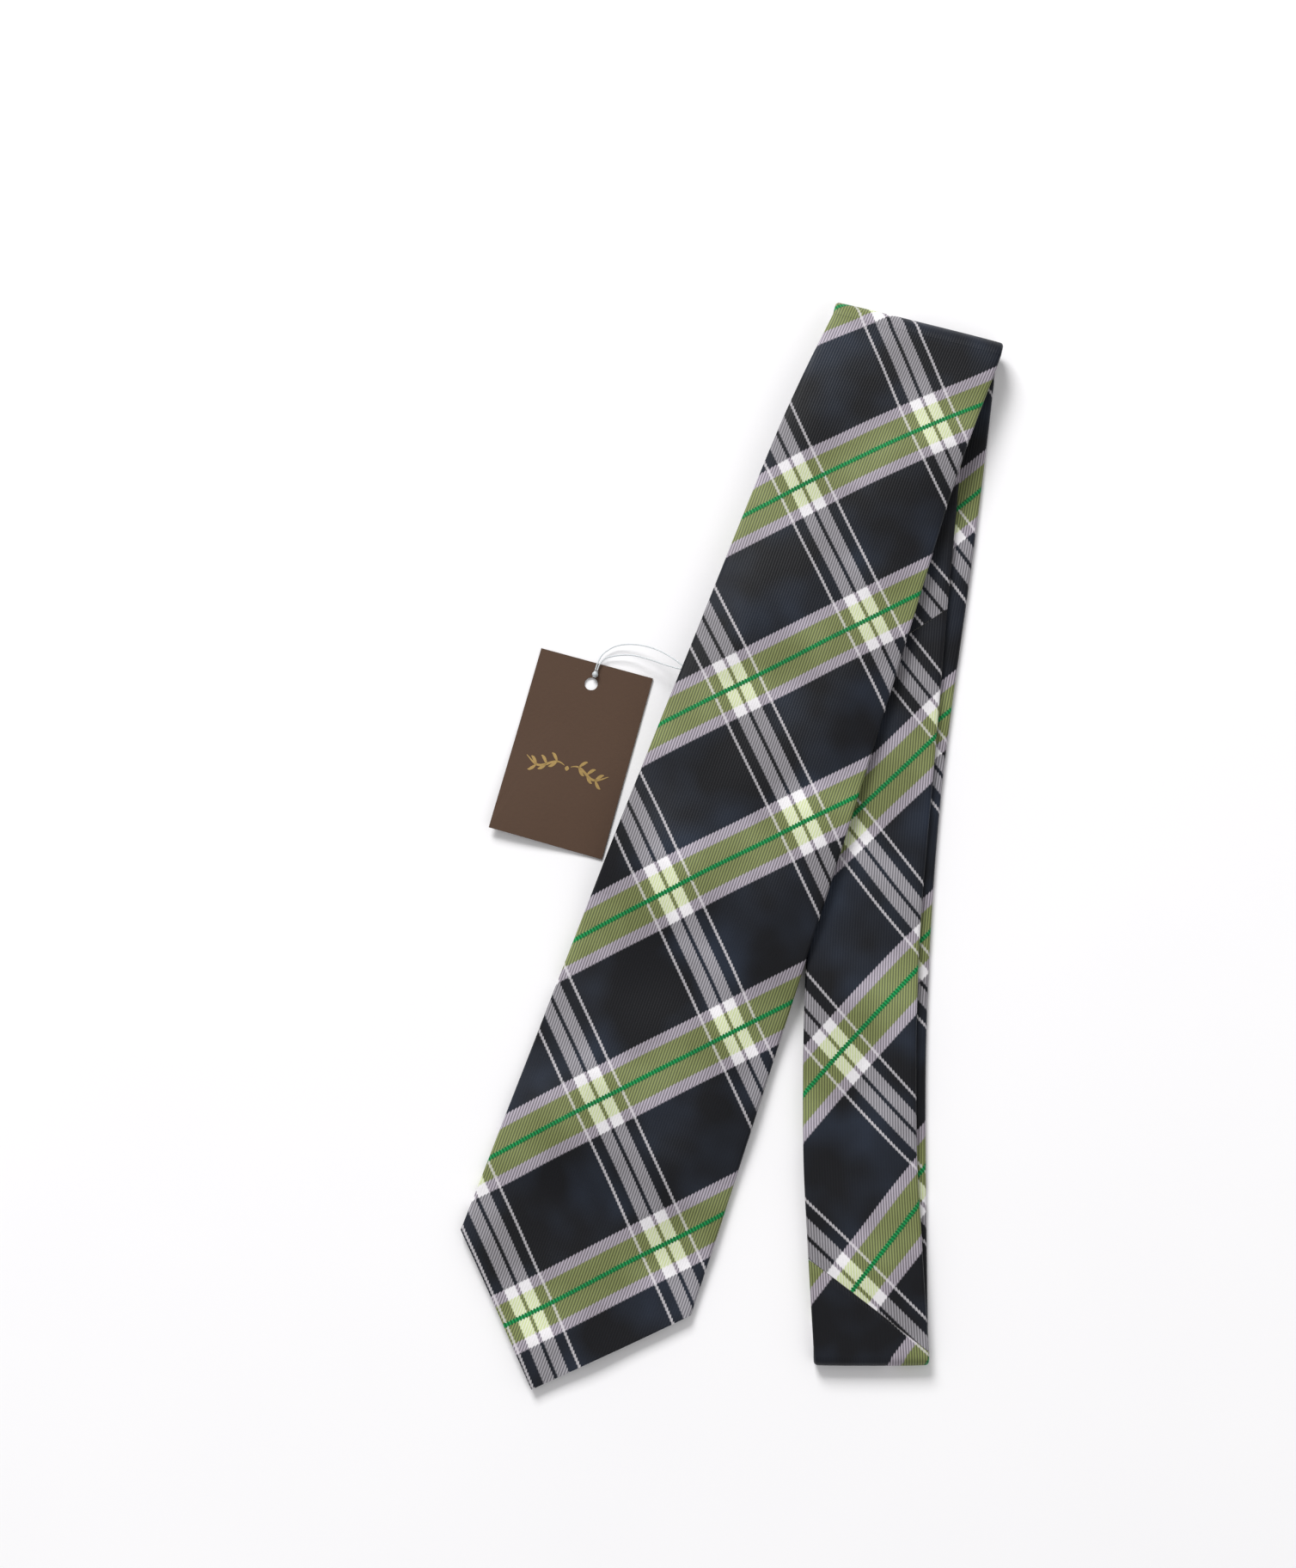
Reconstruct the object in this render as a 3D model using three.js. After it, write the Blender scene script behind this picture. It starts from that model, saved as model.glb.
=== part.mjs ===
// A three-piece necktie folded in four and laid flat, with a card hang tag on a nylon loop.
// Millimetres, +Z up. The tie's length runs along Y and it lies on the plane z = 0.
import * as THREE from "three";

// ---- cloth ----
const CLOTH = 0.5; // thickness of the shell cloth
const FELT = 1.0; // thickness of the interlining
const EASE = 0.3; // clearance between pieces that touch
const ON_CLOTH = 0.09; // clearance under a piece sewn flat onto the cloth
const LAYER = 2 * CLOTH + FELT + 2 * EASE; // thickness of one folded leg
const BACK_GAP = 0.7; // half the gap between the two back flaps
const ROLL = 0.8; // the bevel that stands for a leg's rolled edge
const ROLL_INSIDE = 0.4; // the same on the shell's inner face
const THREAD = 0.5; // the slip stitch that closes the back
const FELT_INSET = 1.3; // from the leg's edge to the interlining's edge

// ---- widths ----
const BLADE_WIDTH = 87; // wide end, at its shoulders
const FOLD_WIDTH = 63.5; // blade leg at the quarter fold
const NECK_WIDTH = 40.5; // at the neck fold
const TAIL_FOLD_WIDTH = 43; // tail leg at the quarter fold
const TAIL_WIDTH = 48; // narrow end, at its shoulders
const BLADE_SWELL = 0.4; // how much the blade's edges bow out between the fold and the shoulders

// ---- lengths, from the quarter fold ----
const BLADE_LENGTH = 365.2; // to the shoulders of the wide end
const TAIL_LENGTH = 287; // to the shoulders of the narrow end
const TAIL_SEAM = 118.2; // join of tail piece and neck piece
const NECK_SEAM_GAP = 1.4; // from the neck fold to the low corner of the join of neck piece and blade piece
const SEAM_SLOPE = 0.81; // both joins are cut on the bias
const BACK_OPENING = 92; // the back flaps spread over this length above the shoulders
const HEM = 7; // turned hem inside each point
const LINING_LENGTH = 66; // the lining runs this far above the shoulders
const LINING_GAP = 1.2; // from the lining to the flaps and hems beside it
const HEM_GAP = 1.5; // the hem stops short of the interlining and the lining
const POINT_RUN = 20; // the cloth's cross lines bend into the point over this length

// ---- levels ----
const WIDE_GAP = 1.0; // between the two halves of one leg pair, where the keeper and label lie
const LEVEL_2 = 0;
const LEVEL_3 = LEVEL_2 + LAYER + WIDE_GAP;
const LEVEL_4 = LEVEL_3 + LAYER + EASE;
const LEVEL_1 = LEVEL_4 + LAYER + WIDE_GAP;
const FOLD_AXIS = (LEVEL_1 + LAYER) / 2; // height of the quarter fold's axis
const NECK_AXIS = LEVEL_3 - WIDE_GAP / 2; // height of the neck fold's axis
const KEEPER_STOCK = 0.4; // thickness of the keeper's band
const TAIL_REST = EASE + KEEPER_STOCK + 0.05; // the narrow end rests on the keeper's band
const TAIL_DROP_START = 169; // the upper half steps down beside the lower half from here
const DROP_LAG = 36; // the blade steps down this much later than the tail under it
const BLADE_DROP_START = TAIL_DROP_START + DROP_LAG;
const DROP_LENGTH = 63;
const TIP_GAP = 4; // the blade comes down to the surface this far beyond the narrow end's tip
const WIDTH_EASE = [-60, 330]; // the lower half narrows towards the neck over this stretch
const NECK_EASE = 240; // and the neck leg over this one
const TURN = 70; // beside a fold, the cross lines turn to lie along it over this length

// ---- routes of the legs' middles, from the quarter fold outwards ----
const FOLD_MIDDLE = [66.9, 184.84];
const NECK_MIDDLE = [45.8, -187.25];
const FOLD_ANGLE = THREE.MathUtils.degToRad(-14.55);
const BLADE_ROUTE = [
  FOLD_MIDDLE, [51, 147.15], [15.8, 48.85], [-25.2, -65.25], [-58.2, -157.35], [-73.5, -198.05],
];
const LOWER_ROUTE = [
  FOLD_MIDDLE, [59.6, 111.85], [49.7, 16.25], [46.1, -66.75], [45.9, -133.75], NECK_MIDDLE,
];
const NECK_ROUTE = [
  FOLD_MIDDLE, [60.7, 128.25], [51.3, 30.25], [44.3, -46.75], [42.6, -112.75], [43.9, -148.75], NECK_MIDDLE,
];

// ---- small pieces ----
const KEEPER = { from: 243, length: 12 };
const LABEL = { from: 191, length: 34, halfWidth: 9, thick: 0.25 };
const TACK = { above: 86, length: 1.6, halfWidth: 4, thick: 0.35 }; // above the shoulders
const TAG = { width: 42.6, height: 69.6, thick: 0.5, hole: 2.4, holeDrop: 8, corner: 0.6 };
const TAG_CENTRE = [-60.8, 29.25];
const TAG_ANGLE = THREE.MathUtils.degToRad(-15.5);
const LOCK = { radius: 1.1, neck: 0.7, length: 2.4, taper: 0.5, across: 0.5, above: 3.6 }; // above the hole
const STRING = 0.5;
const FLOURISH = { length: 28, swing: 2.6, thin: 0.25, fat: 0.9, drop: 6, points: 24 };
const FOIL = { thick: 0.08, lift: 0.1 };

const smooth = THREE.MathUtils.smoothstep;
const group = new THREE.Group();

const finish = (color, roughness = 0.9, metalness = 0) => ({ color, roughness, metalness });
const SHELL = finish(0x252b38, 0.55);
const LINING = finish(0x20242e, 0.45);
const FELT_CLOTH = finish(0xd8d2c4);
const STITCH = finish(0x1b1f28);
const CARD = finish(0x604a3c, 0.8);

/** Adds one named mesh to the group. */
function add(name, geometry, look) {
  geometry.computeVertexNormals();
  const mesh = new THREE.Mesh(geometry, new THREE.MeshStandardMaterial(look));
  mesh.name = name;
  group.add(mesh);
  return mesh;
}

/** Moves every vertex of a geometry by a function of its own place. */
function warp(geometry, move) {
  const position = geometry.getAttribute("position");
  const point = new THREE.Vector3();
  for (let i = 0; i < position.count; i++) {
    point.copy(move(point.fromBufferAttribute(position, i)));
    position.setXYZ(i, point.x, point.y, point.z);
  }
  return geometry;
}

// ---- sections ----
// A section is drawn at a nominal half width. Points near its edge keep their distance from the edge,
// and points near its middle keep their distance from the middle, or spread with the back opening.
const NOMINAL = 20;
const nearEdge = (x) => Math.abs(x) > NOMINAL / 2;

/** A closed shape through points [x, y]. */
const outline = (points) => new THREE.Shape(points.map(([x, y]) => new THREE.Vector2(x, y)));

/** The folded shell: a face, two rolled edges and two back flaps. front is +1 for face up. */
function shellSection(front) {
  const flip = (y) => (front > 0 ? y : LAYER - y);
  const side = (sign) => [
    [sign * BACK_GAP, 0],
    [sign * (NOMINAL - ROLL), 0],
    [sign * NOMINAL, ROLL],
    [sign * NOMINAL, LAYER - ROLL],
    [sign * (NOMINAL - ROLL), LAYER],
  ];
  const inside = (sign) => [
    [sign * (NOMINAL - CLOTH - ROLL_INSIDE), LAYER - CLOTH],
    [sign * (NOMINAL - CLOTH), LAYER - CLOTH - ROLL_INSIDE],
    [sign * (NOMINAL - CLOTH), CLOTH + ROLL_INSIDE],
    [sign * (NOMINAL - CLOTH - ROLL_INSIDE), CLOTH],
    [sign * BACK_GAP, CLOTH],
  ];
  const points = [
    ...side(1),
    [0, LAYER],
    ...side(-1).reverse(),
    ...inside(-1).reverse(),
    [0, LAYER - CLOTH],
    ...inside(1),
  ];
  return outline(points.map(([x, y]) => [x, flip(y)]));
}

/** A flat band through a leg, from one height to another, with a middle point for pointed ends. */
function bandSection(inset, low, high) {
  const half = NOMINAL - inset;
  return outline([[half, low], [half, high], [0, high], [-half, high], [-half, low], [0, low]]);
}

/** A flat strip of fixed half width at the middle of a leg. */
const stripSection = (half, low, high) => outline([[half, low], [half, high], [-half, high], [-half, low]]);

// ---- legs ----
/** One leg of the tie: its route, its width and its level by distance from the quarter fold. */
class Leg {
  constructor(route, width, level, front, endSide = null) {
    const points = route.map(([x, y]) => new THREE.Vector3(x, y, 0));
    this.curve = new THREE.CatmullRomCurve3(points, false, "centripetal");
    this.length = this.curve.getLength();
    this.width = width;
    this.level = level;
    this.front = front;
    this.endSide = endSide;
  }

  /** The place of a point across the leg, at a distance along it and a height in it. */
  place(along, across, height) {
    const t = THREE.MathUtils.clamp(along / this.length, 0, 1);
    const heading = this.curve.getTangentAt(t);
    const square = new THREE.Vector3(-heading.y, heading.x, 0);
    const foldLine = new THREE.Vector3(Math.cos(FOLD_ANGLE), Math.sin(FOLD_ANGLE), 0);
    const side = foldLine.multiplyScalar(Math.sign(foldLine.dot(square)));
    side.lerp(square, smooth(along, 0, TURN)).normalize();
    if (this.endSide) side.lerp(this.endSide, smooth(along, this.length - TURN, this.length)).normalize();
    const point = this.curve.getPointAt(t);
    point.addScaledVector(heading, along - t * this.length);
    point.addScaledVector(side, across / side.dot(square));
    point.z = this.level(along) + height;
    return point;
  }

  /** Lays a section along the leg. Each end may have a slope, and pointFrom gives it a 90-degree point. */
  lay(section, from, to, { steps, startSlope = 0, endSlope = 0, pointFrom = null, spread = null }) {
    const half = (s) => this.width(s) / 2;
    const blank = new THREE.ExtrudeGeometry(section, { depth: 1, steps, bevelEnabled: false });
    return warp(blank, (p) => {
      const level = THREE.MathUtils.lerp(from, to, p.z);
      const reach = half(level) - (NOMINAL - Math.abs(p.x));
      const middle = spread ? Math.abs(p.x) * spread(level) : Math.abs(p.x);
      const x = Math.sign(p.x) * (nearEdge(p.x) ? reach : middle);
      const along = THREE.MathUtils.lerp(from + startSlope * x, to + endSlope * x, p.z);
      if (pointFrom === null) return this.place(along, x, p.y);
      const pointed = THREE.MathUtils.clamp((level - pointFrom) / (to - pointFrom), 0, 1);
      return this.place(along + pointed * (half(to) - Math.abs(x)), x, p.y);
    });
  }
}

/** Bends a section half way round a fold line, from the upper leg over to the lower leg. */
function bend(section, width, radius, middle, outward, axisHeight, steps = 12) {
  const out = new THREE.Vector3(outward[0], outward[1], 0).normalize();
  const up = new THREE.Vector3(0, 0, 1);
  const across = new THREE.Vector3().crossVectors(up, out);
  const blank = new THREE.ExtrudeGeometry(section, { depth: Math.PI, steps, bevelEnabled: false });
  return warp(blank, (p) => {
    const x = nearEdge(p.x) ? Math.sign(p.x) * (width / 2 - (NOMINAL - Math.abs(p.x))) : p.x;
    const r = radius + p.y;
    const point = new THREE.Vector3(middle[0], middle[1], axisHeight);
    point.addScaledVector(across, x);
    point.addScaledVector(out, r * Math.sin(p.z));
    return point.addScaledVector(up, r * Math.cos(p.z));
  });
}

const bladeWidth = (s) => {
  const t = THREE.MathUtils.clamp(s / BLADE_LENGTH, 0, 1);
  return FOLD_WIDTH + (BLADE_WIDTH - FOLD_WIDTH) * (t + BLADE_SWELL * t * (1 - t));
};
const lowerWidth = (s) => THREE.MathUtils.lerp(FOLD_WIDTH, NECK_WIDTH, smooth(s, ...WIDTH_EASE));
const neckWidth = (s) => THREE.MathUtils.lerp(TAIL_FOLD_WIDTH, NECK_WIDTH, smooth(s, 0, NECK_EASE));
const tailWidth = (s) => THREE.MathUtils.lerp(TAIL_FOLD_WIDTH, TAIL_WIDTH, smooth(s, 0, TAIL_LENGTH));

const drop = (s, start) => smooth(s, start, start + DROP_LENGTH);
const tailLevel = (s) => THREE.MathUtils.lerp(LEVEL_4, TAIL_REST, drop(s, TAIL_DROP_START));
const tailTip = TAIL_LENGTH + TAIL_WIDTH / 2;
const bladeLevel = (s) => {
  const onTail = TAIL_REST + LAYER + WIDE_GAP;
  const stepped = THREE.MathUtils.lerp(LEVEL_1, onTail, drop(s, BLADE_DROP_START));
  return stepped * (1 - smooth(s, tailTip + TIP_GAP, BLADE_LENGTH - POINT_RUN));
};

const blade = new Leg(BLADE_ROUTE, bladeWidth, bladeLevel, 1);
const alongNeckFold = new THREE.Vector3(1, 0, 0);
const lower = new Leg(LOWER_ROUTE, lowerWidth, () => LEVEL_2, -1, alongNeckFold);
const neck = new Leg(NECK_ROUTE, neckWidth, () => LEVEL_3, 1, alongNeckFold);
const tail = new Leg(BLADE_ROUTE, tailWidth, tailLevel, -1);
const neckSeam = neck.length - NECK_SEAM_GAP - SEAM_SLOPE * (NECK_WIDTH / 2);

/** How far the back flaps have spread at a distance along a leg that ends in a point. */
const flapSpread = (leg, shoulder) => (s) => {
  const open = smooth(s, shoulder - BACK_OPENING, shoulder);
  return THREE.MathUtils.lerp(1, (leg.width(s) / 2 - HEM) / BACK_GAP, open);
};

// ---- the four legs' shells and interlinings ----
const back = (front) => (front > 0 ? [0, CLOTH] : [LAYER - CLOTH, LAYER]);
const felt = bandSection(FELT_INSET, CLOTH + EASE, CLOTH + EASE + FELT);

add("blade_shell_upper", blade.lay(shellSection(1), EASE, BLADE_LENGTH,
  { steps: 56, pointFrom: BLADE_LENGTH - POINT_RUN, spread: flapSpread(blade, BLADE_LENGTH) }), SHELL);
add("blade_interlining_upper", blade.lay(felt, EASE, BLADE_LENGTH - HEM - EASE,
  { steps: 56, pointFrom: BLADE_LENGTH - POINT_RUN }), FELT_CLOTH);
add("blade_shell_lower", lower.lay(shellSection(-1), EASE, lower.length - EASE, { steps: 36 }), SHELL);
add("blade_interlining_lower", lower.lay(felt, EASE, lower.length - EASE, { steps: 24 }), FELT_CLOTH);
add("neck_shell", neck.lay(shellSection(1), TAIL_SEAM + EASE, neckSeam - EASE,
  { steps: 30, startSlope: -SEAM_SLOPE, endSlope: SEAM_SLOPE }), SHELL);
add("blade_shell_end", neck.lay(shellSection(1), neckSeam, neck.length - EASE,
  { steps: 4, startSlope: SEAM_SLOPE }), SHELL);
add("neck_interlining", neck.lay(felt, EASE, neck.length - EASE, { steps: 32 }), FELT_CLOTH);
add("tail_shell_lower", neck.lay(shellSection(1), EASE, TAIL_SEAM,
  { steps: 14, endSlope: -SEAM_SLOPE }), SHELL);
add("tail_shell_upper", tail.lay(shellSection(-1), EASE, TAIL_LENGTH,
  { steps: 44, pointFrom: TAIL_LENGTH - POINT_RUN, spread: flapSpread(tail, TAIL_LENGTH) }), SHELL);
add("tail_interlining_upper", tail.lay(felt, EASE, TAIL_LENGTH - HEM - EASE,
  { steps: 44, pointFrom: TAIL_LENGTH - POINT_RUN }), FELT_CLOTH);

// ---- folds ----
const foldOut = [-Math.sin(FOLD_ANGLE), Math.cos(FOLD_ANGLE)];
const outerRadius = LEVEL_1 - FOLD_AXIS;
const innerRadius = LEVEL_4 - FOLD_AXIS;
const neckRadius = WIDE_GAP / 2;
const alongFold = (width, leg) => {
  const heading = leg.curve.getTangentAt(0);
  return width / Math.abs(heading.x * foldOut[0] + heading.y * foldOut[1]);
};
const bladeFoldWidth = alongFold(FOLD_WIDTH, blade);
const tailFoldWidth = alongFold(TAIL_FOLD_WIDTH, tail);
const DOWN = [0, -1];
const quarterBend = (section, width, radius) => bend(section, width, radius, FOLD_MIDDLE, foldOut, FOLD_AXIS);
add("blade_fold_shell", quarterBend(shellSection(1), bladeFoldWidth, outerRadius), SHELL);
add("blade_fold_interlining", quarterBend(felt, bladeFoldWidth, outerRadius), FELT_CLOTH);
add("tail_fold_shell", quarterBend(shellSection(-1), tailFoldWidth, innerRadius), SHELL);
add("tail_fold_interlining", quarterBend(felt, tailFoldWidth, innerRadius), FELT_CLOTH);
add("neck_fold_shell", bend(shellSection(1), NECK_WIDTH, neckRadius, NECK_MIDDLE, DOWN, NECK_AXIS), SHELL);
add("neck_fold_interlining", bend(felt, NECK_WIDTH, neckRadius, NECK_MIDDLE, DOWN, NECK_AXIS), FELT_CLOTH);

// ---- linings behind the two points ----
/** The lining that fills the opening between the back flaps of a pointed end. */
function tipping(leg, shoulder) {
  const [low, high] = back(leg.front);
  const spread = flapSpread(leg, shoulder);
  const panel = bandSection(0, low, high);
  const blank = new THREE.ExtrudeGeometry(panel, { depth: 1, steps: 14, bevelEnabled: false });
  const from = shoulder - LINING_LENGTH;
  return warp(blank, (p) => {
    const s = THREE.MathUtils.lerp(from, shoulder, p.z);
    const x = Math.sign(p.x) * (BACK_GAP * spread(s) - LINING_GAP);
    const pointed = THREE.MathUtils.clamp((s - shoulder + POINT_RUN) / POINT_RUN, 0, 1);
    const tip = leg.width(shoulder) / 2 - HEM - Math.abs(x);
    return leg.place(s + pointed * tip, x, p.y);
  });
}
add("blade_tipping", tipping(blade, BLADE_LENGTH), LINING);
add("tail_tipping", tipping(tail, TAIL_LENGTH), LINING);

/** The turned hem that fills the edge of a pointed end, between its face and its lining. */
function hem(leg, shoulder) {
  const half = leg.width(shoulder) / 2 - CLOTH - EASE;
  const start = EASE + CLOTH;
  const inner = half - HEM + HEM_GAP;
  const shape = outline([
    [half, start], [0, start + half], [-half, start],
    [-inner, start], [0, start + inner], [inner, start],
  ]);
  const blank = new THREE.ExtrudeGeometry(shape, { depth: FELT, bevelEnabled: false });
  return warp(blank, (p) => leg.place(shoulder + p.y, -p.x, CLOTH + EASE + p.z));
}
add("blade_tip_hem", hem(blade, BLADE_LENGTH), SHELL);
add("tail_tip_hem", hem(tail, TAIL_LENGTH), SHELL);

// ---- threads, tacks, keeper and label ----
const STITCH_GAP = 2; // from each end of a seam to its stitches
for (const [name, leg, from, to] of [
  ["slip_stitch_blade", blade, 0, BLADE_LENGTH - BACK_OPENING],
  ["slip_stitch_lower", lower, 0, lower.length],
  ["slip_stitch_neck", neck, TAIL_SEAM, neckSeam],
  ["slip_stitch_tail", tail, 0, TAIL_LENGTH - BACK_OPENING],
]) {
  const [low] = back(leg.front);
  const thread = stripSection(BACK_GAP - EASE, low, low + THREAD);
  add(name, leg.lay(thread, from + STITCH_GAP, to - STITCH_GAP, { steps: 30 }), STITCH);
}

/** A flat piece lying outside a leg's back flaps, at a small clearance. */
function onBack(leg, { from, length, halfWidth, thick }, steps) {
  const low = leg.front > 0 ? -ON_CLOTH - thick : LAYER + ON_CLOTH;
  return leg.lay(stripSection(halfWidth, low, low + thick), from, from + length, { steps });
}
add("bar_tack_blade", onBack(blade, { ...TACK, from: BLADE_LENGTH - TACK.above }, 1), STITCH);
add("bar_tack_tail", onBack(tail, { ...TACK, from: TAIL_LENGTH - TACK.above }, 1), STITCH);
add("care_label", onBack(blade, LABEL, 6), finish(0x15171c));

/** The keeper: a flat loop of cloth on the blade's back, with the narrow end through it. */
function keeper() {
  const gap = EASE;
  const outer = NOMINAL + gap + KEEPER_STOCK;
  const inner = NOMINAL + gap;
  const shape = stripSection(outer, -gap - KEEPER_STOCK, LAYER + gap + KEEPER_STOCK);
  shape.holes.push(new THREE.Path(stripSection(inner, -gap, LAYER + gap).getPoints()));
  return tail.lay(shape, KEEPER.from, KEEPER.from + KEEPER.length, { steps: 2 });
}
add("keeper_loop", keeper(), SHELL);

// ---- hang tag ----
const tagBody = new THREE.Group();
tagBody.position.set(TAG_CENTRE[0], TAG_CENTRE[1], 0);
tagBody.rotation.z = TAG_ANGLE;
group.add(tagBody);

const card = new THREE.Shape();
const [hw, hh, c] = [TAG.width / 2, TAG.height / 2, TAG.corner];
card.moveTo(-hw + c, -hh).lineTo(hw - c, -hh).lineTo(hw, -hh + c).lineTo(hw, hh - c);
card.lineTo(hw - c, hh).lineTo(-hw + c, hh).lineTo(-hw, hh - c).lineTo(-hw, -hh + c);
const holeY = hh - TAG.holeDrop;
card.holes.push(new THREE.Path().absarc(0, holeY, TAG.hole, 0, 2 * Math.PI, true));
const cardBlank = { depth: TAG.thick, bevelEnabled: false, curveSegments: 24 };
const cardMesh = add("tag_card", new THREE.ExtrudeGeometry(card, cardBlank), CARD);
tagBody.add(cardMesh);

/** A plain gold flourish: one wavy ribbon, fat in the middle. */
function flourish() {
  const { length, swing, thin, fat, drop: below, points } = FLOURISH;
  const side = (sign) => Array.from({ length: points + 1 }, (_, i) => {
    const t = sign > 0 ? i / points : 1 - i / points;
    const middle = swing * Math.sin(t * 3 * Math.PI) - below;
    return [length * (t - 0.5), middle + sign * (thin + fat * Math.sin(t * Math.PI))];
  });
  return outline([...side(1), ...side(-1)]);
}
const foil = { depth: FOIL.thick, bevelEnabled: false };
const GOLD = finish(0xb8954a, 0.35, 0.8);
const ornament = add("tag_ornament", new THREE.ExtrudeGeometry(flourish(), foil), GOLD);
ornament.position.z = TAG.thick + FOIL.lift;
tagBody.add(ornament);

// The lock lies on the card above the hole, and grips both ends of the loop.
const lockHalf = LOCK.length / 2;
const lockProfile = [
  [0, -lockHalf], [LOCK.neck, -lockHalf], [LOCK.radius, LOCK.taper - lockHalf],
  [LOCK.radius, lockHalf - LOCK.taper], [LOCK.neck, lockHalf], [0, lockHalf],
];
const lockPoints = lockProfile.map(([r, y]) => new THREE.Vector2(r, y));
const lock = add("tag_lock", new THREE.LatheGeometry(lockPoints, 20), finish(0xe8ecef, 0.2));
lock.position.set(LOCK.across, holeY + LOCK.above, TAG.thick + FOIL.lift + LOCK.radius);
tagBody.add(lock);

// The nylon loop leaves the lock, rises to the back of the blade's edge and comes back.
const LOOP = [
  [-52.12, 60, 1.7], [-51.16, 62.9, 1.5], [-49.36, 66.03, 1.3], [-44.5, 69, 1.6], [-37.5, 69.3, 3],
  [-30, 67, 5.4], [-24, 63.2, 8], [-20.6, 60.3, 9.2], [-19.6, 59.05, 9.4], [-20.9, 58.9, 9.1],
  [-26, 60.6, 7.2], [-32.5, 63.4, 4.6], [-39, 65.4, 2.6], [-45, 65.3, 1.6], [-48.6, 64.4, 1.3],
  [-50.5, 62.3, 1.5], [-51.44, 59.81, 1.7],
];
const loopCurve = new THREE.CatmullRomCurve3(LOOP.map(([x, y, z]) => new THREE.Vector3(x, y, z)));
const loopSection = new THREE.Shape().absarc(0, 0, STRING / 2, 0, 2 * Math.PI);
const loopBlank = { extrudePath: loopCurve, steps: 60, curveSegments: 4, bevelEnabled: false };
add("tag_string", new THREE.ExtrudeGeometry(loopSection, loopBlank), finish(0xf2f4f5, 0.15));

export default group;
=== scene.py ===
import logging
import math
from dataclasses import dataclass
from enum import Enum
from typing import Callable

import bmesh
import bpy
import numpy as np
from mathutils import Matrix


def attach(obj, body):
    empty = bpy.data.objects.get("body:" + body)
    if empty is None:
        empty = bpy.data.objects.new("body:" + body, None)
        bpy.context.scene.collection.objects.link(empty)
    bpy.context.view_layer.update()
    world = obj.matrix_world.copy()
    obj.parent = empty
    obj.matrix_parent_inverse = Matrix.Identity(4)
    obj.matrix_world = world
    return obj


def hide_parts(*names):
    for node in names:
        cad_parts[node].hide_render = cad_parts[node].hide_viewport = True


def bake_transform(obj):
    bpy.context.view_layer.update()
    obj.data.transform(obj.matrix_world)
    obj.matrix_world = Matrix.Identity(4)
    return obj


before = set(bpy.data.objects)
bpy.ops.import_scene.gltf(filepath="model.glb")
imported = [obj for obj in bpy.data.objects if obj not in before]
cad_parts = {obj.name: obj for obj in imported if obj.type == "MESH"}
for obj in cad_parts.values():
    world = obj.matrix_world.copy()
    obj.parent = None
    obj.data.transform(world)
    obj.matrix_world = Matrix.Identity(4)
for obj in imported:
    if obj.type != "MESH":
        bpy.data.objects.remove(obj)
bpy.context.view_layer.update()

MM = 0.001
log = logging.getLogger("necktie")


class Facing(Enum):
    """Which way a leg's front cloth faces where it lies."""

    UP = 1
    DOWN = -1


def smooth(value: float, low: float, high: float) -> float:
    """A smooth step from 0 at low to 1 at high."""
    t = min(max((value - low) / (high - low), 0.0), 1.0)
    return t * t * (3 - 2 * t)


def mix(a: float, b: float, t: float) -> float:
    """The value a share t of the way from a to b."""
    return a + (b - a) * t


# ---- shader building ----


class Wire:
    """A shader socket that can be used in Python expressions."""

    def __init__(self, dye: "Dye", socket: bpy.types.NodeSocket) -> None:
        """Wraps one output socket of a material's node tree."""
        self.dye = dye
        self.socket = socket

    def _math(self, operation: str, *values: "Wire | float") -> "Wire":
        """Adds one Math node on these values."""
        return self.dye.node("ShaderNodeMath", {"operation": operation}, dict(enumerate(values)))

    def __add__(self, other: "Wire | float") -> "Wire":
        """The sum."""
        return self._math("ADD", self, other)

    __radd__ = __add__

    def __mul__(self, other: "Wire | float") -> "Wire":
        """The product."""
        return self._math("MULTIPLY", self, other)

    __rmul__ = __mul__

    def __sub__(self, other: "Wire | float") -> "Wire":
        """The difference."""
        return self._math("SUBTRACT", self, other)

    def __rsub__(self, other: float) -> "Wire":
        """The difference from a number, so that 1 - mask works."""
        return self._math("SUBTRACT", other, self)

    def __truediv__(self, other: "Wire | float") -> "Wire":
        """The quotient."""
        return self._math("DIVIDE", self, other)

    def size(self) -> "Wire":
        """The value without its sign."""
        return self._math("ABSOLUTE", self)

    def wave(self) -> "Wire":
        """The sine of the value."""
        return self._math("SINE", self)

    def repeat(self, length: float) -> "Wire":
        """The place within a repeat of this length, from 0 to the length."""
        return self._math("FLOORED_MODULO", self, length)

    def clear(self) -> "Wire":
        """The value held between 0 and 1."""
        return self.dye.node("ShaderNodeClamp", {}, {"Value": self})

    def larger(self, other: "Wire | float") -> "Wire":
        """The larger of the two values."""
        return self._math("MAXIMUM", self, other)

    def band(self, low: float, high: float, soft: float) -> "Wire":
        """1 between low and high and 0 outside, with edges this soft."""
        rise = ((self - low) / soft + 0.5).clear()
        fall = ((high - self) / soft + 0.5).clear()
        return rise * fall


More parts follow.
